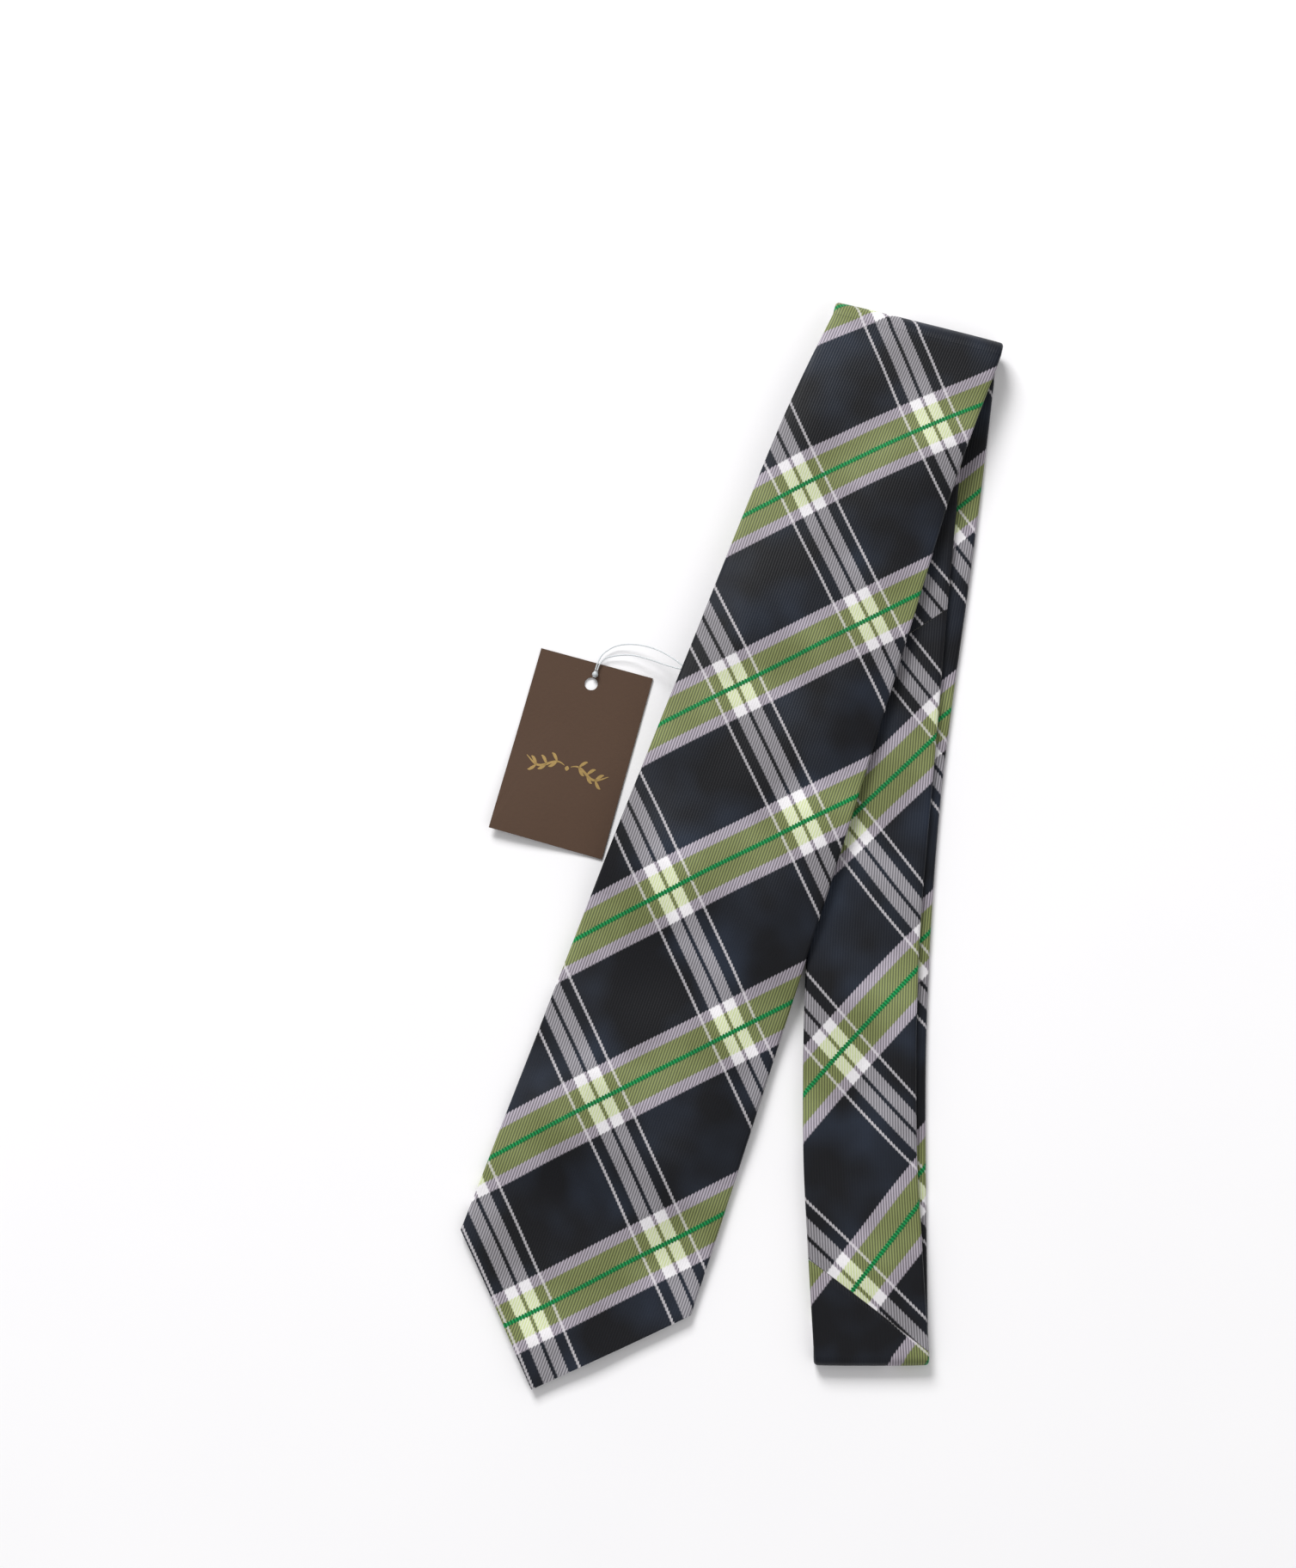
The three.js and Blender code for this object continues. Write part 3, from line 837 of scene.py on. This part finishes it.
@dataclass
class Bend:
    """A fold of the tie: the section carried half way round a fold line."""

    middle: tuple[float, float]
    outward: tuple[float, float]
    axis_height: float
    inner_radius: float
    width: float
    front_outside: bool
    heading: tuple[float, float]
    map_start: float = 0.0

    def build(self, name: str, felt: bool = False, steps: int = 24) -> bpy.types.Object:
        """Builds the fold.

        Args:
            name: the piece's name.
            felt: True for the interlining inside the fold, False for its shell.
            steps: how many sections it has.

        Returns:
            The new object.
        """
        if felt:
            outer, inner, flat = CLOTH.felt_section(self.width / 2)
        else:
            outer, inner, flat = CLOTH.section(self.width / 2, CLOTH.back_gap)
        out = np.array([*self.outward, 0.0])
        up = np.array([0.0, 0.0, 1.0])
        across = np.cross(up, out)
        centre = np.array([*self.middle, self.axis_height])
        ring = np.vstack([outer, inner[::-1]])
        ring_map = np.concatenate([flat, flat[::-1]])
        heading = np.array([*self.heading, 0.0])
        square = np.array([-heading[1], heading[0], 0.0])
        points, maps = [], []
        for angle in np.linspace(0, math.pi, steps):
            swept = (self.inner_radius + CLOTH.thick / 2) * angle
            for (x, z), u in zip(ring, ring_map):
                height = z if self.front_outside else CLOTH.thick - z
                r = self.inner_radius + height
                points.append(centre + across * x + out * (r * math.sin(angle)) + up * (r * math.cos(angle)))
                flat_place = across * u + out * swept
                maps.append((float(flat_place @ square), self.map_start + float(flat_place @ heading)))
        faces = ring_faces(steps, len(ring)) + end_faces(steps, len(ring))
        return build_mesh(name, np.array(points), faces, np.array(maps))


@dataclass
class Wardrobe:
    """Every finish, made once."""

    def __post_init__(self) -> None:
        """Makes the finishes."""
        self.blade = PlaidTwill("plaid_twill_blade").make()
        self.lower = PlaidTwill("plaid_twill_lower", weft_slope=-1.06, warp_slope=-1.01, weft_phase=108.7,
                                warp_phase=203.0, weft_pitch=60.0, warp_pitch=53.8).make()
        self.neck = PlaidTwill("plaid_twill_neck", weft_slope=1.16, warp_slope=1.08,
                               weft_phase=172.7, warp_phase=208.4, weft_pitch=56.0, warp_pitch=53.4).make()
        self.neck_end = PlaidTwill("plaid_twill_neck_end", weft_slope=1.1, warp_slope=1.0,
                                   weft_phase=398.0, warp_phase=430.0).make()
        self.tail = PlaidTwill("plaid_twill_tail", weft_phase=140.0, warp_phase=96.0).make()
        self.lining = PlainCloth("lining_satin", srgb(26, 29, 40), 0.35, 0.45).make()
        self.felt = PlainCloth("interlining_felt", srgb(214, 208, 194), 0.8, 0.85, 0.0001).make()
        self.thread = PlainCloth("slip_thread", srgb(36, 40, 52), 0.3, 0.6).make()
        self.ribbon = PlainCloth("label_ribbon", srgb(28, 30, 36), 0.4, 0.4).make()
        self.card = TagCard().make()
        self.gold = GoldFoil().make()
        self.nylon = ClearNylon().make()
        self.floor = PaleFloor().make()


def fold_width(width: float, route: Route) -> float:
    """A leg's width measured along the quarter fold's line."""
    _, heading = route.at(0.0)
    out = np.array([-math.sin(FOLD_ANGLE), math.cos(FOLD_ANGLE)])
    return width / abs(float(heading @ out))


@dataclass
class UpperHalf:
    """The blade with its point, and the tail under it."""

    body: str = "upper_half"

    def build(self, wardrobe: Wardrobe) -> None:
        """Builds and dresses the blade, the tail and what is sewn to them."""
        blade = Leg(BLADE_ROUTE, blade_width, blade_level, Facing.UP, blade_drape, shoulder=BLADE_LENGTH)
        tail = Leg(BLADE_ROUTE, tail_width, tail_level, Facing.DOWN, shoulder=TAIL_LENGTH)
        for leg, word, cloth, length in (
            (blade, "blade", wardrobe.blade, BLADE_LENGTH), (tail, "tail", wardrobe.tail, TAIL_LENGTH),
        ):
            shell = leg.shell(f"{word}_cloth", LEG_START, length, 150)
            wear(shell, cloth, self.body, f"{word}_shell_upper")
            low = CLOTH.shell + CLOTH.ease
            felt = leg.panel(f"{word}_felt", 0.3, length - HEM - 0.3, low, low + CLOTH.felt,
                             lambda s, leg=leg: leg.width(s) / 2 - FELT_INSET,
                             pointed=leg.width(length) / 2 - FELT_INSET)
            wear(felt, wardrobe.felt, self.body, f"{word}_interlining_upper")
            lining = leg.panel(f"{word}_lining", length - LINING_LENGTH, length, 0.02, CLOTH.shell,
                               lambda s, leg=leg: leg.opening(s) - LINING_INSET,
                               pointed=leg.width(length) / 2 - HEM)
            wear(lining, wardrobe.lining, self.body, f"{word}_tipping")
            sewing = Sewing(leg)
            seam = sewing.slip_stitches(f"{word}_slip_stitches", 0.0, length - BACK_OPENING)
            tack = sewing.bar_tack(f"{word}_bar_tack", length - TACK_ABOVE)
            for stitches, node in ((seam, f"slip_stitch_{word}"), (tack, f"bar_tack_{word}")):
                wear(stitches, wardrobe.thread, self.body, node)
            hem = self.hem(leg, f"{word}_hem", length)
            wear(hem, cloth, self.body, f"{word}_tip_hem")
            flat, area = self.lining_cut(leg, length)
            log.info("%s built", word)
        ribbon = blade.panel("care_ribbon", LABEL_FROM, LABEL_FROM + 34.0, -0.34, -0.09, lambda s: 9.0, 24)
        wear(ribbon, wardrobe.ribbon, self.body, "care_label")
        keeper = wear(self.keeper(tail), wardrobe.lining, self.body, "keeper_loop")
        girth = 2 * (tail.width(KEEPER_FROM) - CLOTH.thick) + math.pi * CLOTH.thick
        girth * MM

    @staticmethod
    def lining_cut(leg: Leg, length: float) -> tuple[tuple[float, float], float]:
        """The size that a lining is cut to before it is sewn in.

        Args:
            leg: the leg that ends in the point.
            length: the distance to the shoulders.

        Returns:
            Its width and length in metres, and its flat area in square metres.
        """
        half = leg.width(length) / 2 - HEM
        edges = [leg.opening(s) - LINING_INSET for s in np.linspace(length - LINING_LENGTH, length, 67)]
        area = 2 * float(np.mean(edges)) * LINING_LENGTH + half * half
        return (2 * half * MM, (LINING_LENGTH + half) * MM), area * MM * MM

    @staticmethod
    def keeper(tail: Leg) -> bpy.types.Object:
        """The cloth keeper: a soft flat band round the tail, with rounded edges."""
        gap, stock = 0.3, 0.4
        rows = [(t, gap + stock) for t in (0.05, 0.35, 0.65, 0.95)] + [(1.0, gap + stock * 0.5)]
        rows += [(t, gap) for t in (0.95, 0.65, 0.35, 0.05)] + [(0.0, gap + stock * 0.5)]
        turn = np.linspace(-math.pi / 2, math.pi / 2, 13)
        r = CLOTH.thick / 2
        points = []
        for t, offset in rows:
            s = KEEPER_FROM + t * KEEPER_WIDTH
            flat = tail.width(s) / 2 - r
            loop = [(flat + (r + offset) * math.cos(a), r + (r + offset) * math.sin(a)) for a in turn]
            loop += [(x, CLOTH.thick + offset) for x in np.linspace(flat, -flat, 14)[1:-1]]
            loop += [(-flat - (r + offset) * math.cos(a), r - (r + offset) * math.sin(a)) for a in turn]
            loop += [(x, -offset) for x in np.linspace(-flat, flat, 14)[1:-1]]
            points += [tail.place(s, x, tail.flip(z)) for x, z in loop]
        faces = ring_faces(len(rows), len(points) // len(rows), closed=True)
        return build_mesh("keeper_band", np.array(points), faces)

    @staticmethod
    def hem(leg: Leg, name: str, length: float) -> bpy.types.Object:
        """The cloth turned in along both edges of a point.

        Args:
            leg: the leg that ends in the point.
            name: the piece's name.
            length: the distance to the shoulders.

        Returns:
            The new object.
        """
        half = leg.width(length) / 2 - 0.8
        low, high = CLOTH.shell + CLOTH.ease, CLOTH.thick - CLOTH.shell - CLOTH.ease
        points, maps = [], []
        for x in np.linspace(-half, half, 41):
            far = half - abs(x)
            near = max(half - HEM + 1.5 - abs(x), 0.0)
            for ahead, z in ((far, low), (far, high), (near, high), (near, low)):
                along = length + 0.8 + ahead
                points.append(leg.place(along, x, leg.flip(z)))
                maps.append((x, along))
        rows = len(points) // 4
        faces = ring_faces(rows, 4) + [(0, 1, 2, 3), tuple(4 * (rows - 1) + k for k in range(4))]
        return build_mesh(name, np.array(points), faces, np.array(maps))


@dataclass
class Sewing:
    """The hand sewing on the back of one leg."""

    leg: Leg
    thread: float = 0.17
    pitch: float = 7.0

    def threads(self, name: str, runs: list[tuple[tuple[float, float], tuple[float, float]]],
                rise: float) -> bpy.types.Object:
        """Builds short arched lengths of thread on the back flaps.

        Args:
            name: the piece's name.
            runs: each stitch's two ends, as distances along and across the leg.
            rise: how far a stitch's middle stands off the cloth.

        Returns:
            The new object.
        """
        around, rings = 8, 7
        points, faces = [], []
        for (s0, x0), (s1, x1) in runs:
            first = len(points)
            run = math.hypot(s1 - s0, x1 - x0)
            side = ((x1 - x0) / run, -(s1 - s0) / run)
            for i in range(rings):
                t = i / (rings - 1)
                swell = 0.35 + 0.65 * math.sin(math.pi * t) ** 0.4 if 0 < i < rings - 1 else 0.3
                radius = self.thread * swell
                lift = -rise * math.sin(math.pi * t) + 0.05
                for k in range(around):
                    a = 2 * math.pi * k / around
                    s = mix(s0, s1, t) + side[0] * radius * math.cos(a)
                    x = mix(x0, x1, t) + side[1] * radius * math.cos(a)
                    points.append(self.leg.place(s, x, self.leg.flip(lift + radius * math.sin(a))))
            for i in range(rings - 1):
                for k in range(around):
                    a, b = first + i * around, first + (i + 1) * around
                    faces.append((a + k, a + (k + 1) % around, b + (k + 1) % around, b + k))
            faces.append(tuple(first + k for k in range(around)))
            faces.append(tuple(first + (rings - 1) * around + k for k in range(around)))
        return build_mesh(name, np.array(points), faces)

    def slip_stitches(self, name: str, first: float, last: float) -> bpy.types.Object:
        """The slanting stitches that close the back flaps."""
        count = int((last - first - 6) / self.pitch)
        starts = [first + 3 + k * self.pitch for k in range(count)]
        runs = [((s, -1.3), (s + 2.6, 1.3)) for s in starts]
        return self.threads(name, runs, 0.12)

    def bar_tack(self, name: str, at: float) -> bpy.types.Object:
        """The thick tack above a point, of close parallel threads."""
        runs = [((at + 0.27 * k, -4.0), (at + 0.27 * k, 4.0)) for k in range(7)]
        runs += [((at - 0.3, x), (at + 1.9, x)) for x in np.linspace(-3.6, 3.6, 14)]
        return self.threads(name, runs, 0.16)


@dataclass
class LowerHalf:
    """The blade leg's second half, the neck fold, and the neck leg on top of it."""

    body: str = "lower_half"

    def build(self, wardrobe: Wardrobe) -> None:
        """Builds and dresses the lower half."""
        lower = Leg(LOWER_ROUTE, lower_width, lambda s: LEVEL_2, Facing.DOWN, to_neck=True)
        neck = Leg(NECK_ROUTE, neck_width, lambda s: LEVEL_3, Facing.UP, neck_drape, to_neck=True)
        end = NECK_ROUTE.length
        shells = (
            (lower.shell("lower_cloth", LEG_START, LOWER_ROUTE.length, 110),
             wardrobe.lower, "blade_shell_lower"),
            (neck.shell("tail_cloth_lower", LEG_START, TAIL_SEAM - 0.1, 50, end_slope=-SEAM_SLOPE),
             wardrobe.tail, "tail_shell_lower"),
            (neck.shell("neck_cloth", TAIL_SEAM + 0.1, NECK_SEAM - 0.1, 110, -SEAM_SLOPE, SEAM_SLOPE),
             wardrobe.neck, "neck_shell"),
            (neck.shell("blade_cloth_end", NECK_SEAM + 0.1, end, 24, start_slope=SEAM_SLOPE),
             wardrobe.neck_end, "blade_shell_end"),
        )
        for piece, cloth, node in shells:
            wear(piece, cloth, self.body, node)
        low = CLOTH.shell + CLOTH.ease
        for leg, name, node in (
            (lower, "lower_felt", "blade_interlining_lower"), (neck, "neck_felt", "neck_interlining"),
        ):
            felt = leg.panel(name, 0.3, leg.route.length - 0.3, low, low + CLOTH.felt,
                             lambda s, leg=leg: leg.width(s) / 2 - FELT_INSET)
            wear(felt, wardrobe.felt, self.body, node)
        heading = tuple(NECK_ROUTE.at(end)[1])
        neck_fold = Bend(NECK_MIDDLE, (0.0, -1.0), NECK_AXIS, WIDE_GAP / 2, NECK_WIDTH, True, heading, end)
        wear(neck_fold.build("neck_fold_cloth"), wardrobe.neck_end, self.body,
             "neck_fold_shell")
        wear(neck_fold.build("neck_fold_felt", True), wardrobe.felt, self.body,
             "neck_fold_interlining")
        for leg, name, first, last in (
            (lower, "slip_stitch_lower", 0.0, LOWER_ROUTE.length),
            (neck, "slip_stitch_neck", TAIL_SEAM, NECK_SEAM),
        ):
            seam = Sewing(leg).slip_stitches(f"{name}_thread", first, last)
            wear(seam, wardrobe.thread, self.body, name)
        log.info("lower half built")


@dataclass
class QuarterFold:
    """The two nested bends at the quarter fold."""

    def build(self, wardrobe: Wardrobe) -> None:
        """Builds and dresses both bends."""
        out = (-math.sin(FOLD_ANGLE), math.cos(FOLD_ANGLE))
        outer_width = fold_width(FOLD_WIDTH, BLADE_ROUTE)
        inner_width = fold_width(TAIL_FOLD_WIDTH, BLADE_ROUTE)
        for name, radius, width, outside, cloth, node in (
            ("blade_fold_cloth", LEVEL_1 - FOLD_AXIS, outer_width, True, wardrobe.blade, "blade_fold_shell"),
            ("tail_fold_cloth", LEVEL_4 - FOLD_AXIS, inner_width, False, wardrobe.tail, "tail_fold_shell"),
        ):
            heading = tuple(BLADE_ROUTE.at(0.0)[1])
            fold = Bend(FOLD_MIDDLE, out, FOLD_AXIS, radius, width, outside, heading)
            top, bottom = (LEVEL_1 + CLOTH.thick) * MM, 0.0
            for felt, look, slot in ((False, cloth, "tie_cloth"), (True, wardrobe.felt, "interlining_felt")):
                piece = fold.build(name.replace("cloth", "felt") if felt else name, felt)
                piece.data.materials.append(look)
                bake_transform(piece)
                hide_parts(node.replace("shell", "interlining") if felt else node)
        log.info("quarter fold built")


@dataclass
class HangTag:
    """The card tag, its gold flourish and its lock."""

    centre: tuple[float, float] = (-60.8, 29.25)
    angle: float = math.radians(-15.5)
    width: float = 42.6
    height: float = 69.6
    thick: float = 0.5
    hole: float = 2.4
    hole_drop: float = 8.0
    curl: float = 2.6

    def lift(self, x: float, y: float) -> float:
        """How far the card curls up at a place on it, most at its lower left corner."""
        across = smooth(-x, -self.width / 2, self.width / 2)
        down = smooth(-y, -self.height / 6, self.height / 2)
        return self.curl * across * down

    def place(self, x: float, y: float, z: float) -> tuple[float, float, float]:
        """A place on the card, in the row frame."""
        c, s = math.cos(self.angle), math.sin(self.angle)
        return (self.centre[0] + c * x - s * y, self.centre[1] + s * x + c * y, z + self.lift(x, y))

    def build(self, wardrobe: Wardrobe) -> None:
        """Builds and dresses the tag."""
        wear(self.card(), wardrobe.card, "hang_tag", "tag_card")
        wear(self.flourish(), wardrobe.gold, "hang_tag", "tag_ornament")
        wear(self.lock(), wardrobe.nylon, "hang_tag", "tag_lock")
        log.info("hang tag built")

    def card(self) -> bpy.types.Object:
        """The card, a ring of faces between its hole and its edge."""
        rays, rings = 96, 22
        hx, hy = self.width / 2, self.height / 2
        hole_y = hy - self.hole_drop
        inner, outer = [], []
        for k in range(rays):
            a = 2 * math.pi * k / rays
            c, s = math.cos(a), math.sin(a)
            reach_x = (hx / abs(c)) if abs(c) > 1e-9 else 1e9
            room_y = (hy - hole_y) if s > 0 else (hy + hole_y)
            reach_y = (room_y / abs(s)) if abs(s) > 1e-9 else 1e9
            inner.append((self.hole * c, hole_y + self.hole * s))
            reach = min(reach_x, reach_y)
            outer.append((reach * c, hole_y + reach * s))
        for x, y in ((hx, hy), (-hx, hy), (-hx, -hy), (hx, -hy)):
            k = min(range(rays), key=lambda q: (outer[q][0] - x) ** 2 + (outer[q][1] - y) ** 2)
            outer[k] = (x, y)
        points = []
        for z in (self.thick, 0.0):
            for r in range(rings):
                t = r / (rings - 1)
                ring = [(mix(a[0], b[0], t), mix(a[1], b[1], t)) for a, b in zip(inner, outer)]
                points += [self.place(x, y, z) for x, y in ring]
        faces = []
        top, size = 0, rays * rings
        for k in range(rays):
            n = (k + 1) % rays
            for r in range(rings - 1):
                a = r * rays
                faces.append((top + a + k, top + a + n, top + a + rays + n, top + a + rays + k))
                faces.append((size + a + k, size + a + rays + k, size + a + rays + n, size + a + n))
            faces.append((k, size + k, size + n, n))
            last = (rings - 1) * rays
            faces.append((last + k, last + n, size + last + n, size + last + k))
        return build_mesh("tag_card_leaf", np.array(points), faces, flat=True)

    def flourish(self) -> bpy.types.Object:
        """A symmetrical scroll of leaves in gold, with a dot at its middle."""
        points, faces = [], []

        def stroke(line: list[tuple[float, float]], fat: float) -> None:
            """Adds one tapering stroke along a line."""
            first = len(points)
            count = len(line)
            for i, (x, y) in enumerate(line):
                ahead = line[min(i + 1, count - 1)]
                behind = line[max(i - 1, 0)]
                run = math.hypot(ahead[0] - behind[0], ahead[1] - behind[1]) or 1.0
                nx, ny = -(ahead[1] - behind[1]) / run, (ahead[0] - behind[0]) / run
                w = 0.12 + fat * math.sin(math.pi * i / (count - 1))
                z = self.thick + 0.03
                points.append(self.place(x + nx * w, y + ny * w, z))
                points.append(self.place(x - nx * w, y - ny * w, z))
                points.append(self.place(x - nx * w, y - ny * w, z + 0.04))
                points.append(self.place(x + nx * w, y + ny * w, z + 0.04))
            for i in range(count - 1):
                a, b = first + 4 * i, first + 4 * i + 4
                for j in range(4):
                    faces.append((a + j, a + (j + 1) % 4, b + (j + 1) % 4, b + j))
            faces.append(tuple(first + j for j in range(4)))
            faces.append(tuple(first + 4 * (count - 1) + j for j in range(4)))

        middle = -6.0
        for sign in (1, -1):
            stem = [(sign * t, middle + 1.6 * math.sin(t / 14 * 2 * math.pi))
                    for t in np.linspace(1.2, 15.5, 30)]
            stroke(stem, 0.35)
            for at in (4.0, 7.5, 11.0):
                for way in (1, -1):
                    root = middle + 1.6 * math.sin(at / 14 * 2 * math.pi)
                    leaf = [(sign * (at + 2.8 * t), root + way * 2.6 * math.sin(t * math.pi / 2) ** 1.2)
                            for t in np.linspace(0, 1, 12)]
                    stroke(leaf, 0.45)
        stroke([(x, middle) for x in np.linspace(-0.8, 0.8, 9)], 0.8)
        return build_mesh("tag_flourish", np.array(points), faces, flat=True)

    def lock(self) -> bpy.types.Object:
        """The small nylon lock that lies above the hole and grips both ends of the loop."""
        profile = [(-1.2, 0.0), (-1.2, 0.55), (-1.0, 0.72), (-0.75, 0.8), (-0.6, 1.02), (-0.3, 1.1),
                   (0.25, 1.1), (0.5, 1.0), (0.62, 0.74), (0.8, 0.7), (0.95, 0.82), (1.1, 0.8),
                   (1.2, 0.6), (1.2, 0.0)]
        around = 28
        middle_y = self.height / 2 - self.hole_drop + 3.6
        level = self.thick + 0.1 + 1.1
        turns = [2 * math.pi * k / around for k in range(around)]
        points = [self.place(0.5 + r * math.cos(a), middle_y + y, level + r * math.sin(a))
                  for y, r in profile[1:-1] for a in turns]
        points += [self.place(0.5, middle_y + profile[end][0], level) for end in (0, -1)]
        rows = len(profile) - 2
        faces = ring_faces(rows, around)
        bottom, top = rows * around, rows * around + 1
        faces += [(bottom, (k + 1) % around, k) for k in range(around)]
        last = (rows - 1) * around
        faces += [(top, last + k, last + (k + 1) % around) for k in range(around)]
        return build_mesh("nylon_lock", np.array(points), faces)


# The loop's route: out of the lock, up to the back of the blade's edge, and back.
LOOP_ROUTE = [
    (-52.12, 60, 1.7), (-51.16, 62.9, 1.5), (-49.36, 66.03, 1.3), (-44.5, 69, 1.6), (-37.5, 69.3, 3),
    (-30, 67, 5.4), (-24, 63.2, 8), (-20.6, 60.3, 9.2), (-19.6, 59.05, 9.4), (-20.9, 58.9, 9.1),
    (-26, 60.6, 7.2), (-32.5, 63.4, 4.6), (-39, 65.4, 2.6), (-45, 65.3, 1.6), (-48.6, 64.4, 1.3),
    (-50.5, 62.3, 1.5), (-51.44, 59.81, 1.7),
]


@dataclass
class NylonLoop:
    """The clear nylon cord that ties the tag to the back of the blade's edge."""

    diameter: float = 0.5
    sides: int = 10
    body: str = "tag_loop"
    bend_from: tuple[float, float, float] = (-48.0, 66.0, 1.3)
    bend_to: tuple[float, float, float] = (-51.3, 61.5, 1.6)

    def build(self, wardrobe: Wardrobe) -> None:
        path = self.fine_route()
        cord = self.tube(path)
        cord.data.materials.append(wardrobe.nylon)
        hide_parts("tag_string")
        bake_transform(cord)

    def tube(self, path: np.ndarray) -> bpy.types.Object:
        """The cord's round body along its path, closed at both ends."""
        radius = self.diameter / 2
        ways = np.gradient(path, axis=0)
        ways /= np.linalg.norm(ways, axis=1)[:, None]
        turns = [2 * math.pi * k / self.sides for k in range(self.sides)]
        side = np.cross(ways[0], (0.0, 0.0, 1.0))
        points = []
        for place, way in zip(path, ways):
            side = side - way * (side @ way)
            side /= np.linalg.norm(side)
            up = np.cross(way, side)
            points += [place + radius * (side * math.cos(a) + up * math.sin(a)) for a in turns]
        last = (len(path) - 1) * self.sides
        faces = ring_faces(len(path), self.sides)
        faces += [tuple(range(self.sides)), tuple(last + k for k in range(self.sides))]
        return build_mesh("nylon_loop", np.array(points), faces)

    @staticmethod
    def fine_route() -> np.ndarray:
        """The route's points, with smooth ones between them."""
        held = np.array(LOOP_ROUTE, float)
        held = np.vstack([2 * held[0] - held[1], held, 2 * held[-1] - held[-2]])
        rows = [Route.stretch(held[i - 1:i + 3], 6) for i in range(1, len(held) - 2)]
        return np.vstack([*rows, held[-2:-1]])


@dataclass
class Studio:
    """The camera, the pale floor and the soft light."""

    aim: tuple[float, float, float] = (-0.0328, 0.01785, 0.0)
    distance: float = 1.1
    elevation: float = math.radians(80.0)
    lens: float = 83.72

    def camera(self) -> None:
        """Sets up the camera nearly overhead."""
        data = bpy.data.cameras.new("camera")
        data.sensor_fit = "HORIZONTAL"
        data.sensor_width = 36.0
        data.lens = self.lens
        camera = bpy.data.objects.new("camera", data)
        x, y, z = self.aim
        back, up = self.distance * math.cos(self.elevation), self.distance * math.sin(self.elevation)
        camera.location = (x, y - back, z + up)
        camera.rotation_euler = (math.pi / 2 - self.elevation, 0.0, 0.0)
        bpy.context.scene.collection.objects.link(camera)
        bpy.context.scene.camera = camera

    def lamp(self, name: str, place: tuple[float, float, float], size: float, power: float) -> None:
        """Adds one soft lamp that faces the tie."""
        data = bpy.data.lights.new(name, "AREA")
        data.size = size
        data.energy = power
        lamp = bpy.data.objects.new(name, data)
        lamp.location = place
        x, y, z = place
        lamp.rotation_euler = (math.atan2(math.hypot(x, y), z), 0.0, math.atan2(y, x) + math.pi / 2)
        bpy.context.scene.collection.objects.link(lamp)

    def build(self, wardrobe: Wardrobe) -> None:
        """Adds the floor and the light."""
        reach = 3.0
        corners = np.array([(-1, -1, 0), (1, -1, 0), (1, 1, 0), (-1, 1, 0)]) * reach / MM
        floor = build_mesh("floor", corners - [0, 0, FLOOR_DROP], [(0, 1, 2, 3)], flat=True)
        floor.data.materials.append(wardrobe.floor)
        self.lamp("window", (-0.9, 2.3, 2.0), 1.3, 96.0)
        self.lamp("fill", (1.2, -1.6, 2.2), 2.2, 12.0)
        world = bpy.data.worlds.new("studio")
        world.use_nodes = True
        world.node_tree.nodes["Background"].inputs[0].default_value = (1.0, 1.0, 1.0, 1.0)
        world.node_tree.nodes["Background"].inputs[1].default_value = 0.42
        bpy.context.scene.world = world
        bpy.context.scene.view_settings.view_transform = "Standard"


def main() -> None:
    """Builds the necktie piece by piece."""
    logging.basicConfig(level=logging.INFO, format="%(message)s")
    studio = Studio()
    studio.camera()
    wardrobe = Wardrobe()
    NylonLoop().build(wardrobe)
    LowerHalf().build(wardrobe)
    UpperHalf().build(wardrobe)
    QuarterFold().build(wardrobe)
    HangTag().build(wardrobe)
    studio.build(wardrobe)
    bpy.context.view_layer.update()


if __name__ == "__main__":
    main()
